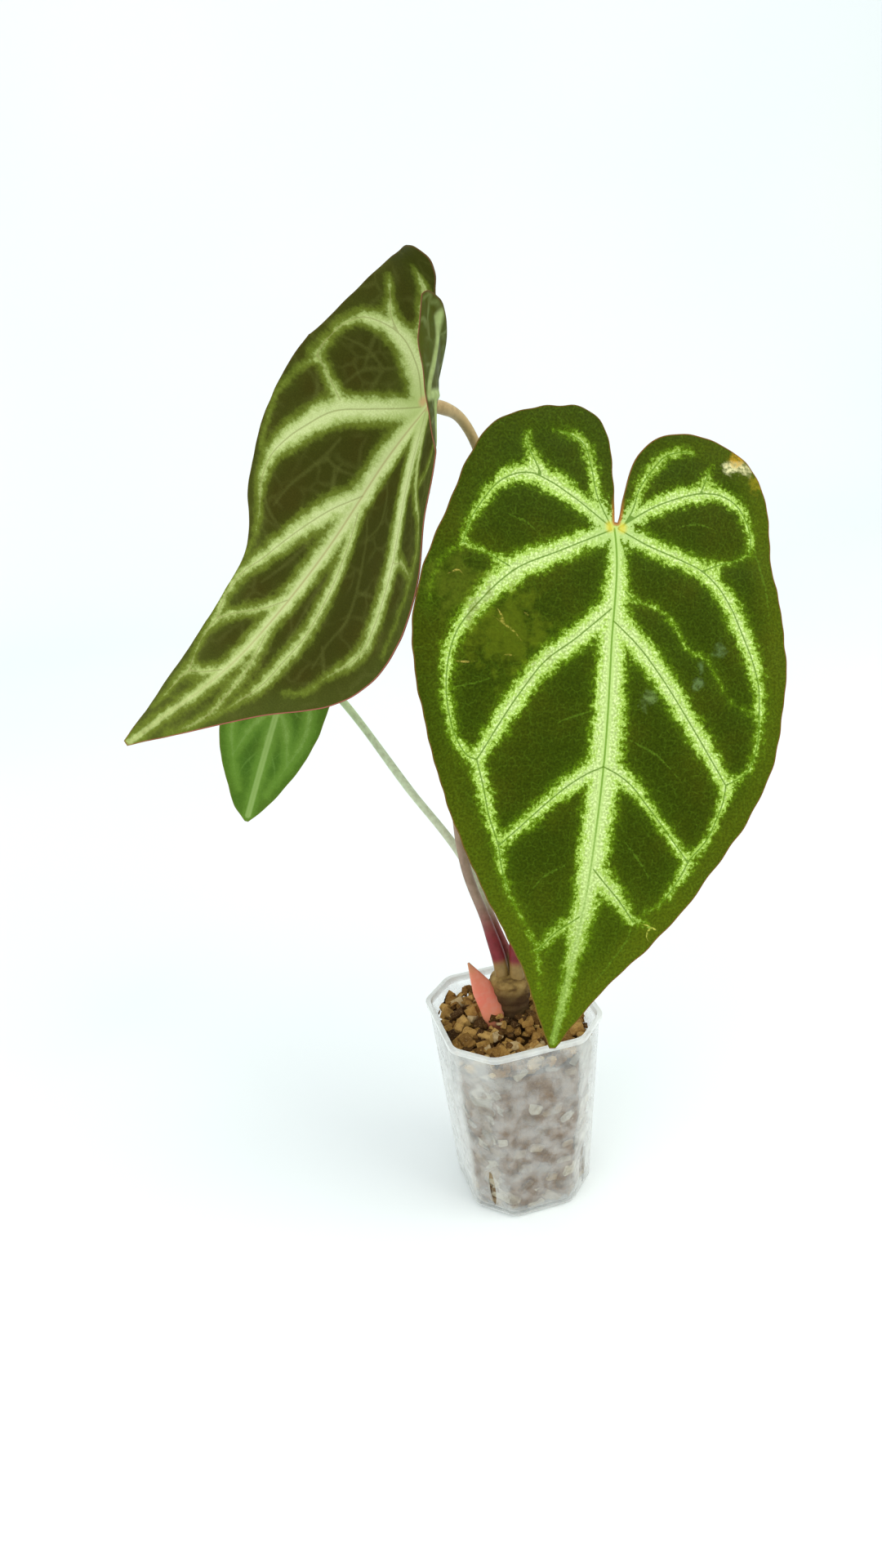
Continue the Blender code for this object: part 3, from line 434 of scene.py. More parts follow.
def leaf_point(leaf, across, along):
    """Places flat leaf coordinates on the bent leaf surface."""
    right, tip, face = leaf_axes(leaf)
    across = np.asarray(across, float)
    along = np.asarray(along, float)

    table = np.linspace(-2 * leaf["lobe"], 1.2 * leaf["length"], 600)
    step = table[1] - table[0]

    def travelled(slopes):
        """How far a line with these slopes has come at each place, counted from the joint."""
        total = np.concatenate([[0.0], np.cumsum((slopes[1:] + slopes[:-1]) / 2 * step)])
        return np.interp(along, table, total) - np.interp(0.0, table, total)

    run = travelled(np.cos(leaf_pitch(leaf, table)))
    drop = travelled(np.sin(leaf_pitch(leaf, table)))
    pitch = leaf_pitch(leaf, along)

    tipward = np.clip(along / leaf["length"], 0, 1)
    lobeward = np.clip(-along / leaf["lobe"], 0, 1)
    fold_lobe, fold_joint, fold_tip = np.radians(leaf["fold"])
    fold = fold_joint + (fold_tip - fold_joint) * tipward + (fold_lobe - fold_joint) * lobeward
    twist = math.radians(leaf["twist"][0]) * lobeward + math.radians(leaf["twist"][1]) * tipward

    side = across * np.cos(fold)
    rise = (np.sqrt(across ** 2 + FOLD_ROUNDING ** 2) - FOLD_ROUNDING) * np.sin(fold)
    phase = np.where(across < 0, 2.2, 0.5)
    rise += leaf["wave"] * np.sin(3 * math.pi * along / leaf["length"] + phase) * (across / 60.0) ** 2
    lobe_rise = np.where(across > 0, leaf["right_lobe_lift"], 0.0) * np.clip(across / 6.0, 0, 1)
    rise += lobe_rise * np.clip(-along, 0, None) / leaf["lobe"]
    side, rise = side * np.cos(twist) - rise * np.sin(twist), side * np.sin(twist) + rise * np.cos(twist)

    tip_part = run + rise * np.sin(pitch)
    face_part = rise * np.cos(pitch) - drop
    return (np.array(leaf["joint"]) + np.multiply.outer(side, right)
            + np.multiply.outer(tip_part, tip) + np.multiply.outer(face_part, face))


def leaf_normal(leaf, across, along):
    """Unit normals on the face side of the bent leaf surface."""
    nudge = 0.05
    sideways = leaf_point(leaf, across + nudge, along) - leaf_point(leaf, across - nudge, along)
    onward = leaf_point(leaf, across, along + nudge) - leaf_point(leaf, across, along - nudge)
    normal = np.cross(onward, sideways)
    return normal / np.linalg.norm(normal, axis=1)[:, None]


def line_distance(points, line):
    """The distance from each point to a polyline, and how far along the line its nearest place is."""
    best = np.full(len(points), 1e9)
    place = np.zeros(len(points))
    for index, (a, b) in enumerate(zip(line[:-1], line[1:])):
        edge = b - a
        u = np.clip(((points - a) @ edge) / (edge @ edge), 0, 1)
        distance = np.linalg.norm(points - a - u[:, None] * edge, axis=1)
        nearer = distance < best
        best[nearer] = distance[nearer]
        place[nearer] = (index + u[nearer]) / (len(line) - 1)
    return best, place


def add_object(name, data):
    """Puts a mesh, a light or a camera into the scene."""
    thing = bpy.data.objects.new(name, data)
    bpy.context.scene.collection.objects.link(thing)
    return thing


def add_piece(name, bm, material, sharp_degrees=40.0):
    """Turns a bmesh into a smooth-shaded piece of the object."""
    bmesh.ops.recalc_face_normals(bm, faces=bm.faces[:])
    mesh = bpy.data.meshes.new(name)
    bm.to_mesh(mesh)
    bm.free()
    mesh.polygons.foreach_set("use_smooth", [True] * len(mesh.polygons))
    mesh.set_sharp_from_angle(angle=math.radians(sharp_degrees))
    mesh.materials.append(material)
    return add_object(name, mesh)


def store(mesh, name, values):
    """Keeps one number, or one vector, per point of a mesh for the materials to read."""
    values = np.asarray(values, np.float32)
    if values.ndim == 1:
        mesh.attributes.new(name, "FLOAT", "POINT").data.foreach_set("value", values)
    else:
        mesh.attributes.new(name, "FLOAT_VECTOR", "POINT").data.foreach_set("vector", values.ravel())


def soft_least(fields, softness):
    """The smallest of several distances, rounded off where two are alike."""
    total = np.zeros(len(fields[0]))
    for field in fields:
        total += np.exp(-np.clip(field, -20, 40) / softness)
    return -softness * np.log(total)


def hash_wave(points, seed, wavelength):
    """A smooth random height over flat points, made of a few crossed waves; about -1 to 1."""
    rng = random.Random(seed)
    total = np.zeros(len(points))
    for _ in range(7):
        angle = rng.uniform(0, 2 * math.pi)
        length = wavelength * rng.uniform(0.7, 1.5)
        wave = points[:, 0] * math.cos(angle) + points[:, 1] * math.sin(angle)
        total += np.sin(wave * 2 * math.pi / length + rng.uniform(0, 2 * math.pi))
    return total / 3.0


# Leaf blades


def outward(outline):
    """Unit directions away from the blade along its closed outline, fading out at its sharp notch and tip."""
    run = np.roll(outline, -1, axis=0) - np.roll(outline, 1, axis=0)
    length = np.linalg.norm(run, axis=1)[:, None]
    run = run / np.maximum(length, 1e-6)
    turn = np.linalg.norm(np.roll(run, -2, axis=0) - np.roll(run, 2, axis=0), axis=1)
    calm = np.clip(1.2 - turn, 0, 1)
    return np.column_stack([run[:, 1], -run[:, 0]]) * calm[:, None]


def blade_plan(leaf):
    """Flat points and triangles of a blade; its outline and veins run along edges of the triangles."""
    left = smooth_line(leaf["left_edge"], LINE_STEP)
    right = smooth_line(leaf["right_edge"], LINE_STEP)
    outline = np.concatenate([left, right])
    scallops = leaf["scallop"] * hash_wave(outline, SCALLOP_SEED, SCALLOP_SPACING)
    outline = outline + outward(outline) * scallops[:, None]
    lines = [leaf["midrib"][0]] + [points for points, _ in leaf["veins"]]
    lines = [smooth_line(points, LINE_STEP) for points in lines + leaf["fine_veins"] + leaf["scratches"]]
    low = outline.min(axis=0)
    high = outline.max(axis=0)
    row_gap = BLADE_GRID * math.sqrt(3) / 2
    grid = []
    for row in range(int((high[1] - low[1]) / row_gap) + 1):
        xs = np.arange(low[0] + (row % 2) * BLADE_GRID / 2, high[0], BLADE_GRID)
        grid.append(np.stack([xs, np.full(len(xs), low[1] + row * row_gap)], axis=1))
    grid = np.concatenate(grid)
    room = line_distance(grid, np.concatenate([outline, outline[:1]]))[0]
    for line in lines:
        room = np.minimum(room, line_distance(grid, line)[0])
    grid = grid[room > BLADE_GRID * 0.55]

    points = [outline] + lines + [grid]
    starts = np.cumsum([0] + [len(group) for group in points])
    border = [(i, (i + 1) % len(outline)) for i in range(len(outline))]
    for start, line in zip(starts[1:], lines):
        border += [(start + i, start + i + 1) for i in range(len(line) - 1)]
    flat = [Vector(p) for p in np.concatenate(points)]
    flat, _, faces = delaunay_2d_cdt(flat, [tuple(map(int, e)) for e in border], [], 1, 0.02)[:3]
    used = sorted({corner for face in faces for corner in face})
    place = {old: new for new, old in enumerate(used)}
    faces = [tuple(place[corner] for corner in face) for face in faces]
    return np.array([tuple(flat[i]) for i in used]), faces, outline


def vein_fields(leaf, points):
    """Distances to the silver edge, the midrib and the veins, for the finish to read, and rib heights."""
    midrib_line = smooth_line(leaf["midrib"][0], LINE_STEP)
    midrib, place = line_distance(points, midrib_line)
    widths = leaf["midrib"][1]
    bands = [midrib - np.interp(place, np.linspace(0, 1, len(widths)), widths)]
    veins = np.full(len(points), 99.0)
    ribs = RIB_HEIGHT * np.clip(1 - (midrib / (RIB_WIDTH / 2)) ** 2, 0, 1) * (1 - 0.75 * place)
    for line, widths in leaf["veins"]:
        distance, place = line_distance(points, smooth_line(line, LINE_STEP))
        width = np.interp(place, np.linspace(0, 1, len(widths)), widths)
        bands.append(distance - width + 1.3 * np.clip(1 - width / 0.9, 0, 1))
        veins = np.minimum(veins, distance + np.clip(0.6 - width, 0, 0.6))
        size = np.clip(0.35 + width / 4.0, 0.35, 1.0)
        rib = 0.6 * RIB_HEIGHT * size * np.clip(1 - (distance / (RIB_WIDTH * size / 2.6)) ** 2, 0, 1)
        ribs = np.maximum(ribs, rib * (1 - 0.5 * place))
    return soft_least(bands, 0.55), midrib, veins, ribs


def faint_lines(points, lines, fade):
    """Distance to the nearest of some short lines; it grows toward their ends, so that they fade out."""
    nearest = np.full(len(points), 99.0)
    for line in lines:
        distance, place = line_distance(points, smooth_line(line, LINE_STEP))
        nearest = np.minimum(nearest, distance + fade * np.abs(place - 0.4))
    return nearest


def build_blade(name, leaf, material):
    """A thin closed blade: sunken veins and puffed cells on its face, raised ribs on its back.

    Its points carry what the finish reads. The back lies apart in "plan", so its noise is its own.
    """
    points, faces, outline = blade_plan(leaf)
    band, midrib, veins, ribs = vein_fields(leaf, points)
    margin = line_distance(points, np.concatenate([outline, outline[:1]]))[0]
    nearest = np.minimum(midrib, veins)
    groove = -MIDRIB_GROOVE * np.exp(-(midrib / 0.9) ** 2) - VEIN_GROOVE * np.exp(-(veins / 0.6) ** 2)
    puff = leaf["quilt"] * (1 - np.exp(-(nearest / 5.0) ** 2)) * np.clip(margin / 6.0, 0, 1)
    ripple = MARGIN_RIPPLE * hash_wave(points, leaf["seed"], RIPPLE_SPACING) * np.exp(-margin / 9.0)
    ripple *= np.clip(nearest / 4.0, 0, 1)
    middle = leaf_point(leaf, points[:, 0], points[:, 1])
    normal = leaf_normal(leaf, points[:, 0], points[:, 1])
    inside = np.clip(margin / MARGIN_TAPER, 0, 1)
    body = EDGE_THICKNESS + (BLADE_THICKNESS - EDGE_THICKNESS) * np.sqrt(inside)
    upper = middle + normal * (body / 2 + ripple + (groove + puff) * inside)[:, None]
    lower = middle - normal * (body / 2 - ripple + (ribs - 0.7 * puff) * inside)[:, None]

    bm = bmesh.new()
    top = [bm.verts.new(p * MM) for p in upper]
    bottom = [bm.verts.new(p * MM) for p in lower]
    for a, b, c in faces:
        bm.faces.new((top[a], top[b], top[c]))
        bm.faces.new((bottom[c], bottom[b], bottom[a]))
    twin = {vert: bottom[i] for i, vert in enumerate(top)}
    for edge in [edge for edge in bm.edges if len(edge.link_faces) == 1]:
        a, b = edge.verts
        if a in twin and b in twin:
            bm.faces.new((a, b, twin[b], twin[a]))
    blade = add_piece(name, bm, material, 60.0)
    mesh = blade.data
    fields = {
        "band": band,
        "midrib": midrib,
        "veins": veins,
        "margin": margin,
        "fine": faint_lines(points, leaf["fine_veins"], 0.8),
        "scratch": faint_lines(points, leaf["scratches"], 1.0),
    }
    for key, values in fields.items():
        store(mesh, key, np.concatenate([values, values]))
    store(mesh, "back", np.concatenate([np.zeros(len(points)), np.ones(len(points))]))
    flat = np.column_stack([points, np.zeros(len(points))])
    store(mesh, "plan", np.concatenate([flat, flat + (0, 0, BACK_SHIFT)]))
    return blade


# Stalks, crown and sheath


def add_tube(bm, points, widths, depths, sides, facing=(0.0, -1.0, 0.0)):
    """A closed rounded bar along the points; widths run across the facing direction, depths along it."""
    points = np.array(points, float)
    heading = np.gradient(points, axis=0)
    heading /= np.linalg.norm(heading, axis=1)[:, None]
    front = np.array(facing)
    rings = []
    for point, along, width, depth in zip(points, heading, widths, depths):
        front = front - along * (front @ along)
        front = front / np.linalg.norm(front)
        beside = np.cross(along, front)
        angles = [2 * math.pi * i / sides for i in range(sides)]
        ring = [point + beside * math.cos(a) * width + front * math.sin(a) * depth for a in angles]
        rings.append([place * MM for place in ring])
    loft(bm, rings)


def build_petiole(name, leaf, material):
    """A stalk from the crown to just behind the joint of its blade; "run" counts from foot to blade.

    It is thick at the foot, slender through the arch and a little swollen just under the blade.
    """
    face = leaf_axes(leaf)[2]
    end = np.array(leaf["joint"]) - face * (BLADE_THICKNESS / 2 + RIB_HEIGHT * 0.4)
    path = smooth_line(leaf["stalk"] + [tuple(end)], STALK_STEP)
    length = np.linalg.norm(np.diff(path, axis=0), axis=1).sum()
    at = np.linspace(0.0, length, len(path))
    foot_radius, body_radius = leaf["stalk_radii"]
    foot = (foot_radius - body_radius) / (1 + np.exp((at - FOOT_REACH) / FOOT_FADE))
    neck = body_radius * NECK_SWELLING * np.exp(-((length - at - NECK_REACH) / NECK_REACH) ** 2)
    radii = body_radius + foot + neck
    unevenness = 1 + 0.03 * np.sin(np.linspace(0, length / 7.0, len(path)))
    bm = bmesh.new()
    add_tube(bm, path, radii * unevenness, radii * (2 - unevenness), STALK_SIDES)
    petiole = add_piece(name, bm, material)
    store(petiole.data, "run", np.repeat(at, STALK_SIDES))
    store(petiole.data, "left", np.repeat(length - at, STALK_SIDES))
    return petiole


def build_crown(material):
    """The short ringed stem; old leaf scars show as uneven ridges round it."""
    x, y = CROWN_CENTRE
    rings = []
    for z in np.linspace(CROWN_FOOT, CROWN_TOP, CROWN_RINGS):
        up = np.clip((z - CROWN_NECK) / (CROWN_TOP - CROWN_NECK), 0, 1)
        ring = []
        for i in range(CROWN_SIDES):
            angle = 2 * math.pi * i / CROWN_SIDES
            radius = CROWN_RADIUS + (CROWN_HEAD_RADIUS - CROWN_RADIUS) * math.sin(up * math.pi * 0.6)
            radius += 0.28 * math.sin(z * 1.9 + 1.3 * math.sin(angle + 0.8)) ** 3
            radius += 0.22 * math.sin(3 * angle + z * 0.35) + 0.1 * math.sin(7 * angle - z * 0.9)
            radius -= 2.2 * np.clip((z - CROWN_TOP + 1.6) / 1.6, 0, 1) ** 2
            ring.append(Vector((x + radius * math.cos(angle), y + radius * math.sin(angle), z)) * MM)
        rings.append(ring)
    bm = bmesh.new()
    loft(bm, rings)
    return add_piece("crown_stem", bm, material, 60.0)


def build_cataphyll(material):
    """The pointed pink sheath beside the crown, keeled down its middle."""
    path = smooth_line(CATAPHYLL, SHEATH_STEP)
    at = np.linspace(0.0, 1.0, len(path))
    stations = np.linspace(0.0, 1.0, len(CATAPHYLL))
    widths = np.interp(at, stations, CATAPHYLL_WIDTHS)
    for _ in range(3):
        widths[1:-1] = (widths[:-2] + 2 * widths[1:-1] + widths[2:]) / 4
    bm = bmesh.new()
    add_tube(bm, path, widths, np.interp(at, stations, CATAPHYLL_DEPTHS), SHEATH_SIDES, SHEATH_FACING)
    sheath = add_piece("sheath", bm, material)
    store(sheath.data, "run", np.repeat(at, SHEATH_SIDES))
    return sheath


# Pot


def pot_flats(z):
    """Outer distance across the flats at a height, without the lip."""
    top = POT_TOP - 2 * POT_LIP
    return POT_BASE + (top - POT_BASE) * z / POT_HEIGHT


def pot_ring(z, inset):
    """A square ring with cut, rounded corners, moved in from the outer wall with its facets parallel."""
    half = (pot_flats(z) - 2 * inset) / 2
    inner = half - (POT_CORNER_CUT - inset * (2 - math.sqrt(2)))
    corners = [(half, -inner), (half, inner), (inner, half), (-inner, half),
               (-half, inner), (-half, -inner), (-inner, -half), (inner, -half)]
    ring = []
    for index, corner in enumerate(corners):
        corner = Vector(corner)
        start = corner + (Vector(corners[index - 1]) - corner).normalized() * POT_ROUNDING
        finish = corner + (Vector(corners[(index + 1) % 8]) - corner).normalized() * POT_ROUNDING
        for step in range(ROUNDING_POINTS):
            u = step / (ROUNDING_POINTS - 1)
            p = start * (1 - u) ** 2 + corner * 2 * u * (1 - u) + finish * u * u
            ring.append(Vector((p.x, p.y, z)) * MM)
    return ring


def cut_away(thing, ends, half_width, half_depth, sides, facing):
    """Cuts a rounded bar that runs between two ends out of a thing."""
    bm = bmesh.new()
    add_tube(bm, ends, [half_width] * 2, [half_depth] * 2, sides, facing)
    bmesh.ops.recalc_face_normals(bm, faces=bm.faces[:])
    mesh = bpy.data.meshes.new("cutter")
    bm.to_mesh(mesh)
    bm.free()
    cutter = add_object("cutter", mesh)
    modifier = thing.modifiers.new("cut", "BOOLEAN")
    modifier.operation = "DIFFERENCE"
    modifier.solver = "MANIFOLD"
    modifier.object = cutter
    graph = bpy.context.evaluated_depsgraph_get()
    mesh = bpy.data.meshes.new_from_object(thing.evaluated_get(graph))
    thing.modifiers.clear()
    thing.data = mesh
    bpy.data.objects.remove(cutter, do_unlink=True)


def build_pot(material):
    """The thin cup with a rolled lip, a foot ring, slots at the foot of its corners and drain holes.

    Its profile is given as heights and how far each lies inside the outer wall.
    """
    low = POT_HEIGHT - POT_LIP_HEIGHT
    foot = [(0.0, 2.2), (0.25, 1.4), (0.8, 0.7), (1.6, 0.25), (2.6, 0.0)]
    outside = [(z, 0.0) for z in (8.0, 24.0, 50.0, low - 0.8)]
    lip = [(low - 0.35, -0.35 * POT_LIP), (low, -0.8 * POT_LIP), (low + 0.3, -POT_LIP),
           (POT_HEIGHT - 0.5, -POT_LIP), (POT_HEIGHT - 0.15, 0.15 - POT_LIP), (POT_HEIGHT, 0.5 - POT_LIP),
           (POT_HEIGHT, POT_WALL - 0.5), (POT_HEIGHT - 0.15, POT_WALL - 0.15), (POT_HEIGHT - 0.5, POT_WALL)]
    inside = [(z, POT_WALL) for z in (50.0, 24.0, 8.0, 3.4)]
    floor = [(2.2, POT_WALL + 0.5), (POT_FLOOR, POT_WALL + 1.4)]
    bm = bmesh.new()
    loft(bm, [pot_ring(z, inset) for z, inset in foot + outside + lip + inside + floor])
    pot = add_piece("cup", bm, material)

    reach = (pot_flats(10) - POT_CORNER_CUT) / math.sqrt(2)
    for quarter in range(4):
        corner = math.radians(45 + 90 * quarter)
        away = np.array([math.cos(corner), math.sin(corner), 0.0])
        middle = away * reach + (0, 0, (SLOT_LOW + SLOT_HIGH) / 2)
        cut_away(pot, [middle - away * 6, middle + away * 6], SLOT_WIDTH / 2, (SLOT_HIGH - SLOT_LOW) / 2, 32,
                 (0, 0, 1))
    for index in range(DRAIN_COUNT):
        angle = math.radians(DRAIN_TURN + 360 * index / DRAIN_COUNT)
        foot = np.array([DRAIN_RING * math.cos(angle), DRAIN_RING * math.sin(angle), -2.0])
        cut_away(pot, [foot, foot + (0, 0, 6)], DRAIN_RADIUS, DRAIN_RADIUS, 24, (0, -1, 0))
    pot.data.set_sharp_from_angle(angle=math.radians(40))
    return pot


# Bark mix


def medium_height(x, y):
    """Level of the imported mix: a low mound round the crown, a heap at the back left and gentle dips."""
    mound = MEDIUM_MOUND * math.exp(-((x - CROWN_CENTRE[0]) ** 2 + (y - CROWN_CENTRE[1]) ** 2) / 250.0)
    heap = MEDIUM_HEAP / (1 + math.exp((x - y + 8.0) / 6.0))
    return MEDIUM_LEVEL + mound + heap + 0.8 * math.sin(0.21 * x + 1.0) * math.cos(0.24 * y)


def keep_inside(point, clearance):
    """Moves a point to the inside of the cup wall, as chips are pressed flat against it."""
    z = max(point.z, MEDIUM_BOTTOM)
    room = pot_flats(z) / 2 - POT_WALL - clearance
    cut = POT_CORNER_CUT - (POT_WALL + clearance) * (2 - math.sqrt(2))
    corner_room = (2 * room - cut) / math.sqrt(2)
    x = min(max(point.x, -room), room)
    y = min(max(point.y, -room), room)
    over = (abs(x) + abs(y)) / math.sqrt(2) - corner_room
    if over > 0:
        x -= math.copysign(over / math.sqrt(2), x)
        y -= math.copysign(over / math.sqrt(2), y)
    return Vector((x, y, z))


def add_chip(bm, rng, centre, size, tint, tints):
    """One angular flake of bark with blunted edges, pressed inside the cup."""
    shape = Vector((1.0, rng.uniform(0.55, 0.95), rng.uniform(0.35, 0.7))) * size / 2
    spin = Matrix.Rotation(rng.uniform(0, 6.283), 3, "Z") @ Matrix.Rotation(rng.uniform(-0.7, 0.7), 3, "X")
    spin = spin @ Matrix.Rotation(rng.uniform(-0.7, 0.7), 3, "Y")
    chip = bmesh.new()
    for corner in range(8):
        signs = [1 if corner >> bit & 1 else -1 for bit in range(3)]
        chip.verts.new([s * half * rng.uniform(0.6, 1.0) for s, half in zip(signs, shape)])
    for _ in range(3):
        way = Vector((rng.uniform(-1, 1), rng.uniform(-1, 1), rng.uniform(-1, 1))).normalized()
        chip.verts.new([w * half * 1.05 for w, half in zip(way, shape)])
    bmesh.ops.convex_hull(chip, input=chip.verts[:])
    bmesh.ops.delete(chip, geom=[v for v in chip.verts if not v.link_faces], context="VERTS")
    bmesh.ops.bevel(chip, geom=chip.edges[:], offset=size * CHIP_BLUNTING, segments=1, affect="EDGES",
                    clamp_overlap=True)
    places = {}
    clearance = rng.uniform(*WALL_CLEARANCE)
    for vert in chip.verts:
        place = keep_inside(spin @ vert.co + Vector(centre), clearance)
        places[vert] = bm.verts.new(place * MM)
        tints.append(tint)
    for face in chip.faces:
        bm.faces.new([places[vert] for vert in face.verts])
    chip.free()


def add_tinted(name, bm, material, tints):
    """A piece of bark whose points carry their place in the range of browns."""
    piece = add_piece(name, bm, material, 30.0)
    store(piece.data, "tint", tints)
    return piece


def build_top_chips(material):
    """Bark flakes strewn evenly over the top of the mix, with the crown left free."""
    rng = random.Random(CHIP_SEED)
    bm = bmesh.new()
    tints = []
    for index in range(TOP_CHIPS):
        radius = STREW_RADIUS * math.sqrt((index + 0.5) / TOP_CHIPS)
        angle = index * GOLDEN_ANGLE
        squareness = 1.0 + 0.16 * math.cos(4 * angle) ** 2
        x = radius * math.cos(angle) * squareness + rng.uniform(-1, 1)
        y = radius * math.sin(angle) * squareness + rng.uniform(-1, 1)
        if math.hypot(x - CROWN_CENTRE[0], y - CROWN_CENTRE[1]) > CROWN_RADIUS + 1.0:
            size = rng.choice(TOP_CHIP_SIZES)
            lift = rng.uniform(-1.2, 1.4)
            add_chip(bm, rng, (x, y, medium_height(x, y) + lift), size, rng.random(), tints)
    return add_tinted("bark_chips", bm, material, tints)


def build_wall_chips(material):
    """Flakes pressed against the inside of the wall, which show through the plastic."""
    rng = random.Random(CHIP_SEED + 1)
    bm = bmesh.new()
    tints = []
    for row in range(WALL_CHIP_ROWS):
        z = 4.0 + row * (MEDIUM_LEVEL - 6.0) / (WALL_CHIP_ROWS - 1)
        for column in range(WALL_CHIP_COLUMNS):
            angle = 2 * math.pi * (column + rng.uniform(-0.3, 0.3) + row % 2 / 2) / WALL_CHIP_COLUMNS
            far = Vector((POT_TOP * math.cos(angle), POT_TOP * math.sin(angle), z + rng.uniform(-2, 2)))
            wall = keep_inside(far, 0.0)
            size = rng.uniform(*WALL_CHIP_SIZES)
            inward = Vector((wall.x, wall.y, 0)).normalized() * size * 0.12
            add_chip(bm, rng, wall - inward, size, rng.random(), tints)
    return add_tinted("bark_wall", bm, material, tints)


def build_core(material):
    """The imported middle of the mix, which only shows as dark gaps between the chips."""
    bm = bmesh.new()
    loft(bm, [pot_ring(z, inset) for z, inset in
              ((MEDIUM_BOTTOM, 3.6), (3.6, 2.8), (30.0, 2.6), (60.0, 2.6), (MEDIUM_LEVEL - 4.0, 2.8))])
    return add_tinted("bark_core", bm, material, [CORE_TINT] * len(bm.verts))


# Materials


def rgb(red, green, blue):
    """A colour as the eye reads it off a screen, 0 to 255, in the renderer's linear numbers."""
    def linear(value):
        value /= 255.0
        return value / 12.92 if value <= 0.04045 else ((value + 0.055) / 1.055) ** 2.4
    return (linear(red), linear(green), linear(blue), 1.0)


class Finish:
    """A Principled material put together from small steps.

    Most steps return an output socket. over() lays one more colour on what is there, bump() roughens the
    surface, and paint() ends with the finished material.
    """

    def __init__(self, name, **constants):
        self.material = bpy.data.materials.new(name)
        self.material.use_nodes = True
        self.tree = self.material.node_tree
        self.shader = self.tree.nodes["Principled BSDF"]
        self.colour = None
        for socket, value in constants.items():
            self.shader.inputs[socket.replace("_", " ")].default_value = value

    def feed(self, socket, value):
        """Links a socket to another one, or sets it to a plain value."""
        if isinstance(value, bpy.types.NodeSocket):
            self.tree.links.new(value, socket)
        else:
            socket.default_value = value

    def add(self, kind, values, **settings):
        """A new node with its settings made and its inputs fed."""
        node = self.tree.nodes.new(kind)
        for key, value in settings.items():
            setattr(node, key, value)
        for key, value in values.items():
            self.feed(node.inputs[key], value)
        return node

    def attribute(self, name, output="Fac"):
        """What the points of the mesh carry under this name."""
        return self.add("ShaderNodeAttribute", {}, attribute_name=name).outputs[output]

    def vector(self, operation, values):
        """Vector arithmetic; a length or a distance is a number."""
        node = self.add("ShaderNodeVectorMath", values, operation=operation)
        return node.outputs["Value" if operation in ("LENGTH", "DISTANCE") else "Vector"]

    def place(self):
        """Object coordinates in millimetres."""
        coordinates = self.add("ShaderNodeTexCoord", {}).outputs["Object"]
        return self.vector("SCALE", {0: coordinates, "Scale": 1 / MM})

    def axes(self, vector):
        return self.add("ShaderNodeSeparateXYZ", {"Vector": vector}).outputs

    def noise(self, vector, size, detail=3.0, rough=0.55):
        """Noise about one half; its features are about size millimetres wide."""
        values = {"Vector": vector, "Scale": 1.0 / size, "Detail": detail, "Roughness": rough}
        return self.add("ShaderNodeTexNoise", values).outputs["Fac"]

    def math(self, operation, a, b=0.0, c=0.0):
        return self.add("ShaderNodeMath", {0: a, 1: b, 2: c}, operation=operation).outputs[0]

    def times(self, a, b):
        return self.math("MULTIPLY", a, b)

    def plus(self, a, b):
        return self.math("ADD", a, b)

    def spread_evenly(self, value, to_low, to_high):
        """Maps 0..1 in a straight line to to_low..to_high."""
        return self.math("MULTIPLY_ADD", value, to_high - to_low, to_low)

    def about(self, noise, amount):
        """Noise spread evenly to both sides of zero."""
        return self.spread_evenly(noise, -0.5 * amount, 0.5 * amount)

    def spread(self, value, low, high, to_low=0.0, to_high=1.0):
        """Maps low..high smoothly to to_low..to_high."""
        values = {"Value": value, "From Min": low, "From Max": high, "To Min": to_low, "To Max": to_high}
        return self.add("ShaderNodeMapRange", values, interpolation_type="SMOOTHSTEP").outputs["Result"]

    def ramp(self, factor, stops):
        """Colours that follow a value from stop to stop."""
        ramp = self.add("ShaderNodeValToRGB", {"Fac": factor})
        elements = ramp.color_ramp.elements
        while len(elements) < len(stops):
            elements.new(0.5)
        for element, (position, colour) in zip(elements, stops):
            element.position = position
            element.color = rgb(*colour)
        return ramp.outputs["Color"]

    def mix(self, factor, a, b, blend="MIX"):
        """Blends two colours; the colour inputs of a mix node are its numbers 6 and 7."""
        values = {0: factor, 6: a, 7: b}
        return self.add("ShaderNodeMix", values, data_type="RGBA", blend_type=blend).outputs[2]

    def over(self, factor, colour, blend="MIX"):
        self.colour = self.mix(factor, self.colour, colour, blend)

    def bump(self, height, depth_mm, strength=1.0):
        node = self.add("ShaderNodeBump", {"Height": height, "Distance": depth_mm * MM, "Strength": strength})
        self.feed(self.shader.inputs["Normal"], node.outputs["Normal"])

    def paint(self, roughness=None):
        self.feed(self.shader.inputs["Base Color"], self.colour)
        if roughness is not None:
            self.feed(self.shader.inputs["Roughness"], roughness)
        return self.material


def paint_cells(finish, look, edge, drift, joint, across, along, margin):
    """The dark tissue between bands: brighter beside a band, along the margin and near the tip."""
    finish.colour = finish.ramp(finish.spread(edge, -1, 9), look["cell"])
    finish.over(finish.spread(drift, 0.4, 0.72, 0, look["brown_share"]), look["brown"])
    finish.over(finish.spread(joint, 24, 6, 0, look["near_share"]), look["near"])
    finish.over(finish.spread(along, 6, -10, 0, look["lobe_share"]), rgb(*look["cell"][-1][1]))
    finish.over(finish.spread(along, 100, 160, 0, look["tip_share"]), look["tip"])
    rightward = finish.math("MULTIPLY_ADD", along, 0.8, across)
    border = finish.spread(rightward, -20, 45, look["border_left"], look["border_share"])
    finish.over(finish.times(finish.spread(margin, 12, 2), border), look["border"])


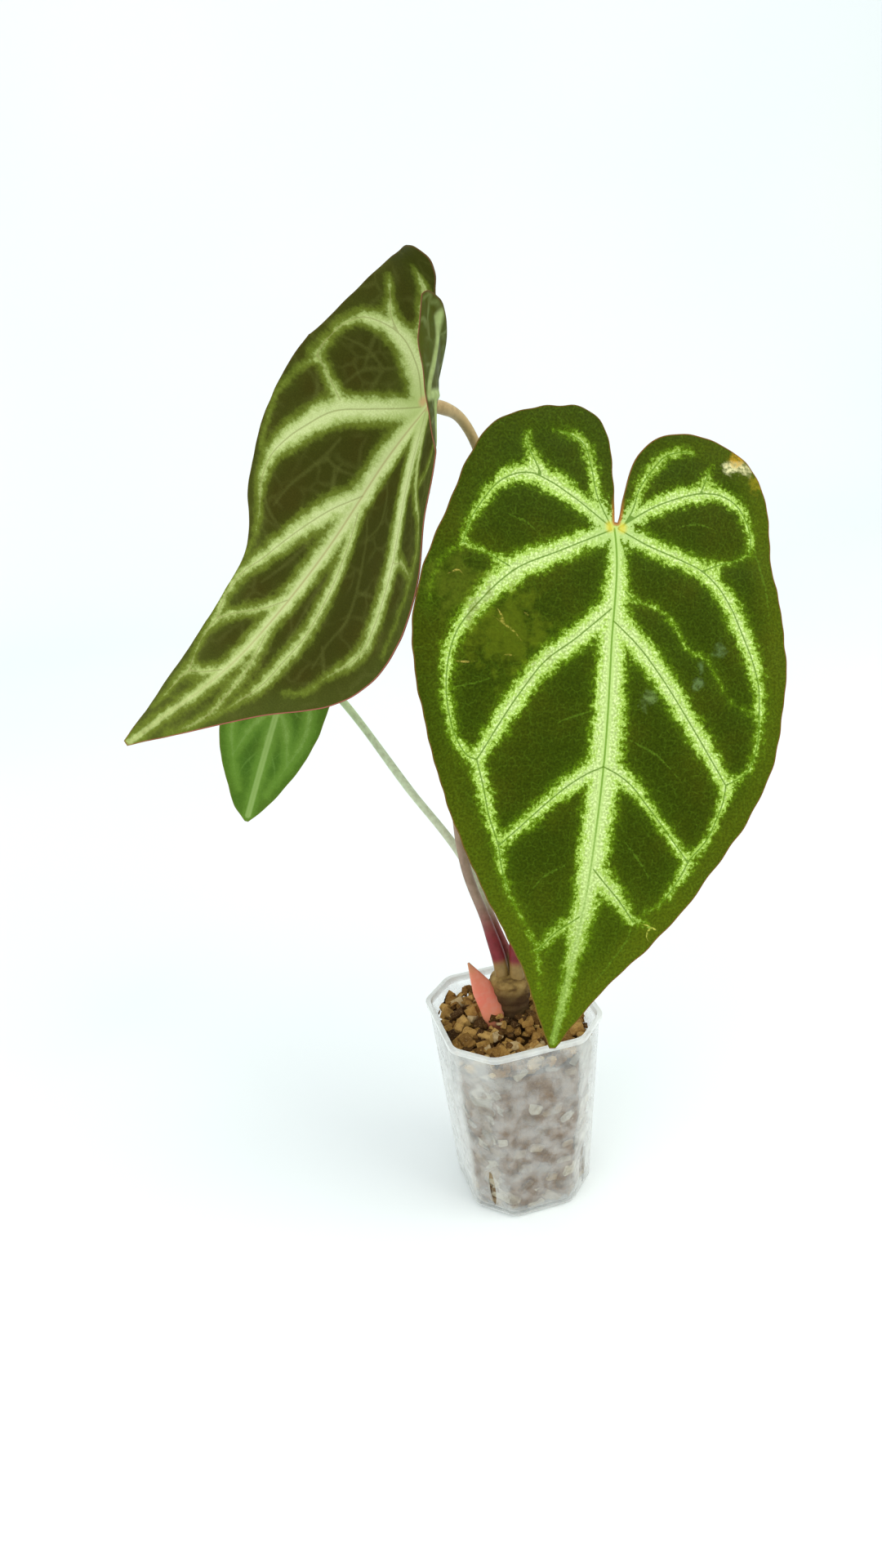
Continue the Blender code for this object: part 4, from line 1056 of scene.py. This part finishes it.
def net_mask(finish, plan, size, width, share):
    """A net of faint cross veins whose lines come and go."""
    warp = finish.add("ShaderNodeTexNoise", {"Vector": plan, "Scale": 0.9 / size, "Detail": 2})
    shift = finish.vector("SCALE", {0: warp.outputs["Color"], "Scale": 0.9 * size})
    moved = finish.vector("ADD", {0: plan, 1: shift})
    moved = finish.vector("SCALE", {0: moved, "Scale": 1.0 / size})
    distance = finish.add("ShaderNodeTexVoronoi", {"Vector": moved, "Scale": 1}, feature="DISTANCE_TO_EDGE",
                          voronoi_dimensions="2D").outputs["Distance"]
    line = finish.spread(distance, 0, width / size, share, 0)
    return finish.times(line, finish.spread(finish.noise(plan, size * 1.3, 1), 0.35, 0.6))


def add_spot(finish, plan, tongues, ragged, spot):
    """A blemish round one place of the blade, and painted sheen where the spot is pale bluish; a small one is
    speckled, a wide one more even.
    """
    across, along, radius, colour, share = spot
    distance = finish.vector("DISTANCE", {0: plan, 1: (across, along, 0)})
    shifted = finish.math("MULTIPLY_ADD", tongues, 3 * radius, distance)
    speck = finish.spread(ragged, 0.6, 0.44, min(0.8, 0.25 + 0.035 * radius) * share, share)
    finish.over(finish.times(finish.spread(shifted, 2.6 * radius, 1.7 * radius), speck), rgb(*colour))


def leaf_finish(name, look, spots):
    """Velvety leaf: grainy silver bands with ragged edges, dark cells, vein lines, red margin, own back."""
    finish = Finish(name, Specular_IOR_Level=look["gloss"])
    plan = finish.attribute("plan", "Vector")
    across, along, _ = finish.axes(plan)
    joint = finish.vector("LENGTH", {0: plan})
    band, margin, midrib, veins = (finish.attribute(key) for key in ("band", "margin", "midrib", "veins"))
    tongues = finish.noise(plan, 4.6, 3, 0.6)
    ragged = finish.noise(plan, 1.25, 3, 0.65)
    grain = finish.noise(plan, look["grain_size"], 1)
    drift = finish.noise(plan, 24, 2)

    # The edge between silver and dark tissue wanders and frays
    fray = finish.about(ragged, look["fray"])
    edge = finish.plus(finish.plus(band, finish.about(tongues, look["wander"])), fray)
    dither = finish.plus(edge, finish.about(grain, look["dither"]))
    soft = look["soft"]
    cell = finish.spread(edge, -0.2, 1.6)
    silver = finish.spread(dither, 0.8 * soft, -1.1 * soft)

    # Dark cells, their nets of fine veins and the silver bands over them
    paint_cells(finish, look, edge, drift, joint, across, along, margin)
    net = finish.times(net_mask(finish, plan, look["net"], look["net_width"], look["net_share"]), cell)
    close_net = finish.times(net_mask(finish, plan, look["net"] * 0.3, 0.3, look["close_share"]), cell)
    fine = finish.plus(finish.attribute("fine"), finish.times(fray, 0.3))
    fine = finish.times(finish.spread(fine, 0.1, look["fine_width"], look["fine_share"], 0), cell)
    for mask in (net, close_net, fine):
        finish.over(mask, look["fine"])
    finish.over(finish.spread(dither, 3.2 * soft, 0.6 * soft, 0, look["fringe_share"]), look["fringe"])
    inner = finish.mix(finish.spread(edge, -3, -0.5), look["silver"], look["soft_silver"])
    fading = finish.plus(finish.spread(along, 105, 165, 0, look["tip_fade"]),
                         finish.spread(along, -8, -30, 0, look["lobe_fade"]))
    finish.over(silver, finish.mix(fading, inner, look["faded"]))

    # Grain, painted sparkle of light and the lines of the veins
    contrast = finish.spread_evenly(silver, look["cell_grain"], look["silver_grain"])
    bright = finish.math("MULTIPLY_ADD", finish.spread(grain, 0.28, 0.72, -1, 1), contrast, 1)
    finish.colour = finish.vector("SCALE", {0: finish.colour, "Scale": bright})
    # The sparkle is painted glints: pale specks of light on the silver bands, fewer toward the tip.
    sparkle = finish.times(silver, finish.spread(grain, 0.52, 0.68, 0, look["sparkle_share"]))
    finish.over(finish.times(sparkle, finish.spread(along, 105, 165, 1, 0.3)), look["sparkle"])
    finish.over(finish.times(silver, finish.spread(joint, 4, 15, 0.75, 0)), look["web"])
    tipward = finish.spread(along, 80, 150, 1, look["tip_line"])
    finish.over(finish.times(finish.spread(midrib, 0.8, 1.6, 0.75, 0), tipward), look["strip"])
    middle_line = finish.spread(midrib, 0.18, 0.5, look["line_share"], 0)
    finish.over(finish.times(middle_line, tipward), look["midrib"])
    finish.over(finish.spread(veins, 0.08, 0.4, look["line_share"], 0), look["lateral"])

    # Marks, joint, notch and rim
    scratch = finish.times(finish.spread(finish.attribute("scratch"), 0.1, 0.6, 0.8, 0),
                           finish.spread(ragged, 0.4, 0.6))
    finish.over(scratch, finish.mix(finish.spread(along, 100, 120), look["scratch"], look["crack"]))
    # Spots are blemishes; the pale bluish ones on the front leaf are painted sheen.
    for spot in spots:
        add_spot(finish, plan, tongues, ragged, spot)
    beside = finish.vector("DISTANCE", {0: finish.vector("ABSOLUTE", {0: plan}), 1: JOINT_SPOT})
    finish.over(finish.spread(beside, 0.3, 2.4, 0.8, 0), look["joint"])
    notch = finish.times(finish.spread(joint, 12, 3), finish.spread(margin, 1.4, 0.5, 0, 0.85))
    finish.over(notch, look["notch"])
    redness = finish.spread(across, -12, 12, look["rim_left"], 0.8)
    finish.over(finish.times(finish.spread(margin, 0.2, 0.5, 1, 0), redness), look["rim"])

    # The back of the blade
    rib = finish.spread(finish.math("MINIMUM", veins, midrib), *look["rib_edge"], 1, 0)
    back = finish.mix(rib, look["back"], look["back_rib"])
    back = finish.mix(finish.times(net, 0.8), back, look["back_rib"])
    back = finish.mix(finish.spread(tongues, 0.3, 0.7, 0, 0.3), back, look["brown"])
    back = finish.mix(finish.spread(margin, 0.2, 0.7, 0.8, 0), back, look["back_rim"])
    finish.over(finish.attribute("back"), back)

    finish.bump(finish.math("MULTIPLY_ADD", net, -1, finish.times(grain, 0.8)), 0.1, 0.6)
    return finish.paint(finish.spread(tongues, 0.3, 0.7, look["rough"] - 0.06, look["rough"] + 0.08))


def leaf_look(index):
    """The numbers and colours of one blade: 0 is the front one, 1 the left one and 2 the small one."""
    look = {key: values[index] for key, values in LOOK_NUMBERS.items()}
    look.update({key: rgb(*colours[index]) for key, colours in LOOK_COLOURS.items()})
    look["cell"] = CELL_COLOURS[index]
    return look


def stalk_finish(name, low, middle, high, foot, heel):
    """Stalk colours from the heel on the crown, up the length, to the blade end, with fine flecks."""
    finish = Finish(name, Specular_IOR_Level=0.3, Roughness=0.42, Subsurface_Weight=0.08,
                    Subsurface_Radius=(0.002, 0.001, 0.0006))
    run = finish.attribute("run")
    place = finish.place()
    finish.colour = finish.mix(finish.spread(run, 40, 100), rgb(*low), rgb(*middle))
    finish.over(finish.spread(finish.attribute("left"), 90, 15), rgb(*high))
    finish.over(finish.spread(run, 40, 20), rgb(*foot))
    finish.over(finish.spread(run, 13.5, 10), rgb(*heel))
    flecks = finish.spread(finish.noise(place, 2.2, 3), 0.35, 0.75, 0, 0.35)
    finish.over(flecks, rgb(150, 140, 110), "MULTIPLY")
    finish.bump(finish.noise(place, 0.7, 2), 0.08, 0.5)
    return finish.paint()


def crown_finish():
    """Tan and brown patches, darker toward its foot by the mix, partly its own brown and partly painted
    shade.
    """
    finish = Finish("crown_look", Specular_IOR_Level=0.2, Roughness=0.75)
    place = finish.place()
    finish.colour = finish.ramp(finish.spread(finish.noise(place, 5, 4), 0.25, 0.75),
                                [(0, (90, 66, 36)), (0.45, (142, 114, 62)), (1, (168, 142, 86))])
    # Dark brown over the lower crown: partly its own colour, partly painted shade that falls there.
    finish.over(finish.spread(finish.axes(place)["Z"], 88.5, 81, 0, 0.85), rgb(62, 40, 22))
    finish.bump(finish.noise(place, 1, 4), 0.35)
    return finish.paint()


def sheath_finish():
    """Salmon pink, browner at the foot and at the dry tip."""
    finish = Finish("sheath_look", Specular_IOR_Level=0.25, Roughness=0.5, Subsurface_Weight=0.15,
                    Subsurface_Radius=(0.003, 0.001, 0.001))
    place = finish.place()
    finish.colour = finish.ramp(finish.attribute("run"),
                                [(0, (180, 112, 76)), (0.3, (230, 142, 108)), (0.55, (232, 126, 104)),
                                 (0.85, (220, 132, 104)), (1, (184, 136, 92))])
    finish.over(finish.spread(finish.noise(place, 2, 3), 0.4, 0.7, 0, 0.5), rgb(226, 150, 130))
    finish.bump(finish.noise(place, 0.8, 3), 0.1, 0.6)
    return finish.paint()


def bark_finish(name, browns):
    """Each chip has its own brown; fibres, dust and dark pores come from noise."""
    finish = Finish(name, Specular_IOR_Level=0.1)
    place = finish.place()
    patch = finish.noise(place, 2.2, 4, 0.65)
    grit = finish.noise(place, 0.5, 3, 0.7)
    finish.colour = finish.ramp(finish.attribute("tint"), browns)
    finish.over(finish.spread(patch, 0.4, 0.72, 0, 0.6), rgb(140, 112, 84), "MULTIPLY")
    finish.over(finish.spread(grit, 0.56, 0.7, 0, 0.5), rgb(206, 176, 126))
    finish.bump(finish.plus(patch, finish.times(grit, 0.5)), 0.6)
    return finish.paint(finish.spread(grit, 0.2, 0.8, 0.75, 0.95))


def cup_finish():
    """Thin cloudy plastic: clear enough to see the mix, milkier in the lip and along the wall; its whiter
    left side is painted light.
    """
    finish = Finish("cup_look", Specular_IOR_Level=0.3, Base_Color=rgb(231, 233, 229))
    place = finish.place()
    x, _, height = finish.axes(place)
    veil = finish.add("ShaderNodeLayerWeight", {"Blend": 0.3}).outputs["Facing"]
    haze = finish.noise(place, 6.5, 3)
    lip = POT_HEIGHT - POT_LIP_HEIGHT
    # Along the wall the cover is higher on the left (negative x) than on the right: painted light on the side
    # that catches more light.
    cover = finish.spread(veil, 0.2, 0.62, 0.15, finish.spread(x, -18, 18, 0.58, 0.38))
    cover = finish.plus(cover, finish.spread(haze, 0.32, 0.68, -0.08, 0.1))
    cover = finish.plus(cover, finish.spread(height, lip - 1, lip + 0.2, 0, 0.46))
    cover = finish.plus(cover, finish.spread(height, 3.2, 1.2, 0, 0.15))
    finish.feed(finish.shader.inputs["Alpha"], cover)
    finish.feed(finish.shader.inputs["Roughness"], finish.spread(haze, 0.3, 0.7, 0.22, 0.36))
    return finish.material


def floor_finish():
    """Almost white, with the faintest drift of tone."""
    finish = Finish("floor_look", Specular_IOR_Level=0.1, Roughness=0.85)
    drift = finish.noise(finish.place(), 420, 1)
    finish.colour = finish.ramp(drift, [(0.3, (237, 243, 244)), (0.7, (241, 245, 242))])
    return finish.paint()


# Stage


def build_floor():
    """A pale sheet that lies flat and sweeps up behind the plant."""
    profile = [(-FLOOR_HALF, 0.0), (SWEEP_START, 0.0)]
    for step in range(1, SWEEP_STEPS + 1):
        angle = math.pi / 2 * step / SWEEP_STEPS
        profile.append((SWEEP_START + SWEEP_RADIUS * math.sin(angle), SWEEP_RADIUS * (1 - math.cos(angle))))
    profile.append((SWEEP_START + SWEEP_RADIUS, SWEEP_TOP))
    bm = bmesh.new()
    rows = [[bm.verts.new((x, y, z)) for x in (-FLOOR_HALF, FLOOR_HALF)] for y, z in profile]
    for near, far in zip(rows[:-1], rows[1:]):
        bm.faces.new((near[0], near[1], far[1], far[0]))
    floor = add_piece("backdrop", bm, floor_finish(), 80.0)


def add_light(name, place, size, power, colour):
    """A soft square light that faces the middle of the plant."""
    light = bpy.data.lights.new(name, "AREA")
    light.size = size
    light.energy = power
    light.color = colour
    lamp = add_object(name, light)
    lamp.location = place
    lamp.rotation_euler = (Vector(LIGHT_AIM) - Vector(place)).to_track_quat("-Z", "Y").to_euler()


def build_light():
    """An even white room with one large soft key from the upper right and a weaker one from the left."""
    world = bpy.data.worlds.new("room")
    world.use_nodes = True
    background = world.node_tree.nodes["Background"]
    background.inputs["Color"].default_value = ROOM_COLOUR
    background.inputs["Strength"].default_value = ROOM_STRENGTH
    bpy.context.scene.world = world
    add_light("key", (0.7, -0.6, 1.2), 0.9, 8.5, (1.0, 0.99, 0.95))
    add_light("fill", (-0.9, -0.7, 0.9), 1.0, 4.6, (0.97, 0.99, 1.0))
    view = bpy.context.scene.view_settings
    view.view_transform = "Standard"
    view.look = "None"
    view.exposure = 0.0


def build_camera():
    """The photograph's camera: high in front, a little to the left and slightly rolled."""
    angles = (CAMERA_AZIMUTH, CAMERA_ELEVATION, CAMERA_ROLL)
    azimuth, elevation, roll = (math.radians(angle) for angle in angles)
    back = Vector((math.sin(azimuth) * math.cos(elevation), -math.cos(azimuth) * math.cos(elevation),
                   math.sin(elevation)))
    level = (-back).cross(Vector((0, 0, 1))).normalized()
    upward = level.cross(-back)
    right = level * math.cos(roll) + upward * math.sin(roll)
    up = upward * math.cos(roll) - level * math.sin(roll)
    data = bpy.data.cameras.new("camera")
    data.sensor_width = 36.0
    data.lens = FOCAL_PIXELS / PHOTO_HEIGHT * data.sensor_width
    data.clip_start = 0.01
    camera = add_object("camera", data)
    turn = Matrix((right, up, back)).transposed().to_4x4()
    camera.matrix_world = Matrix.Translation(Vector(CAMERA_PLACE) * MM) @ turn
    bpy.context.scene.camera = camera


def stand_for(piece, slot, *nodes):
    """The piece rides with the part and stands for these nodes; the slot is not used."""
    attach(piece, "root")
    if nodes:
        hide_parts(*nodes)


def build_all():
    """The stage, then the plant from its blades down to the bark."""
    build_camera()
    build_light()
    build_floor()
    leaves = {"front": FRONT_LEAF, "left": LEFT_LEAF, "small": SMALL_LEAF}
    for index, (key, leaf) in enumerate(leaves.items()):
        finish = leaf_finish(f"leaf_{key}_look", leaf_look(index), leaf["spots"])
        stand_for(build_blade(f"leaf_{key}", leaf, finish), leaf["slot"], f"blade_{key}")
    brown = stalk_finish("stalk_brown_look", *BROWN_STALK)
    pale = stalk_finish("stalk_green_look", *PALE_STALK)
    stand_for(build_petiole("stalk_front", FRONT_LEAF, brown), "petiole_brown", "petiole_front")
    stand_for(build_petiole("stalk_left", LEFT_LEAF, brown), "petiole_brown", "petiole_left")
    stand_for(build_petiole("stalk_small", SMALL_LEAF, pale), "petiole_green", "petiole_small")
    stand_for(build_crown(crown_finish()), "crown_tan", "crown")
    stand_for(build_cataphyll(sheath_finish()), "cataphyll_pink", "cataphyll")
    stand_for(build_pot(cup_finish()), "clear_plastic", "pot")
    top_bark = bark_finish("bark_top_look", TOP_BROWNS)
    # The wall chips take paler, greyer browns, partly painted light.
    wall_bark = bark_finish("bark_wall_look", WALL_BROWNS)
    stand_for(build_top_chips(top_bark), "bark_mix", "growing_medium")
    stand_for(build_wall_chips(wall_bark), "bark_mix")
    stand_for(build_core(top_bark), "bark_mix")


build_all()
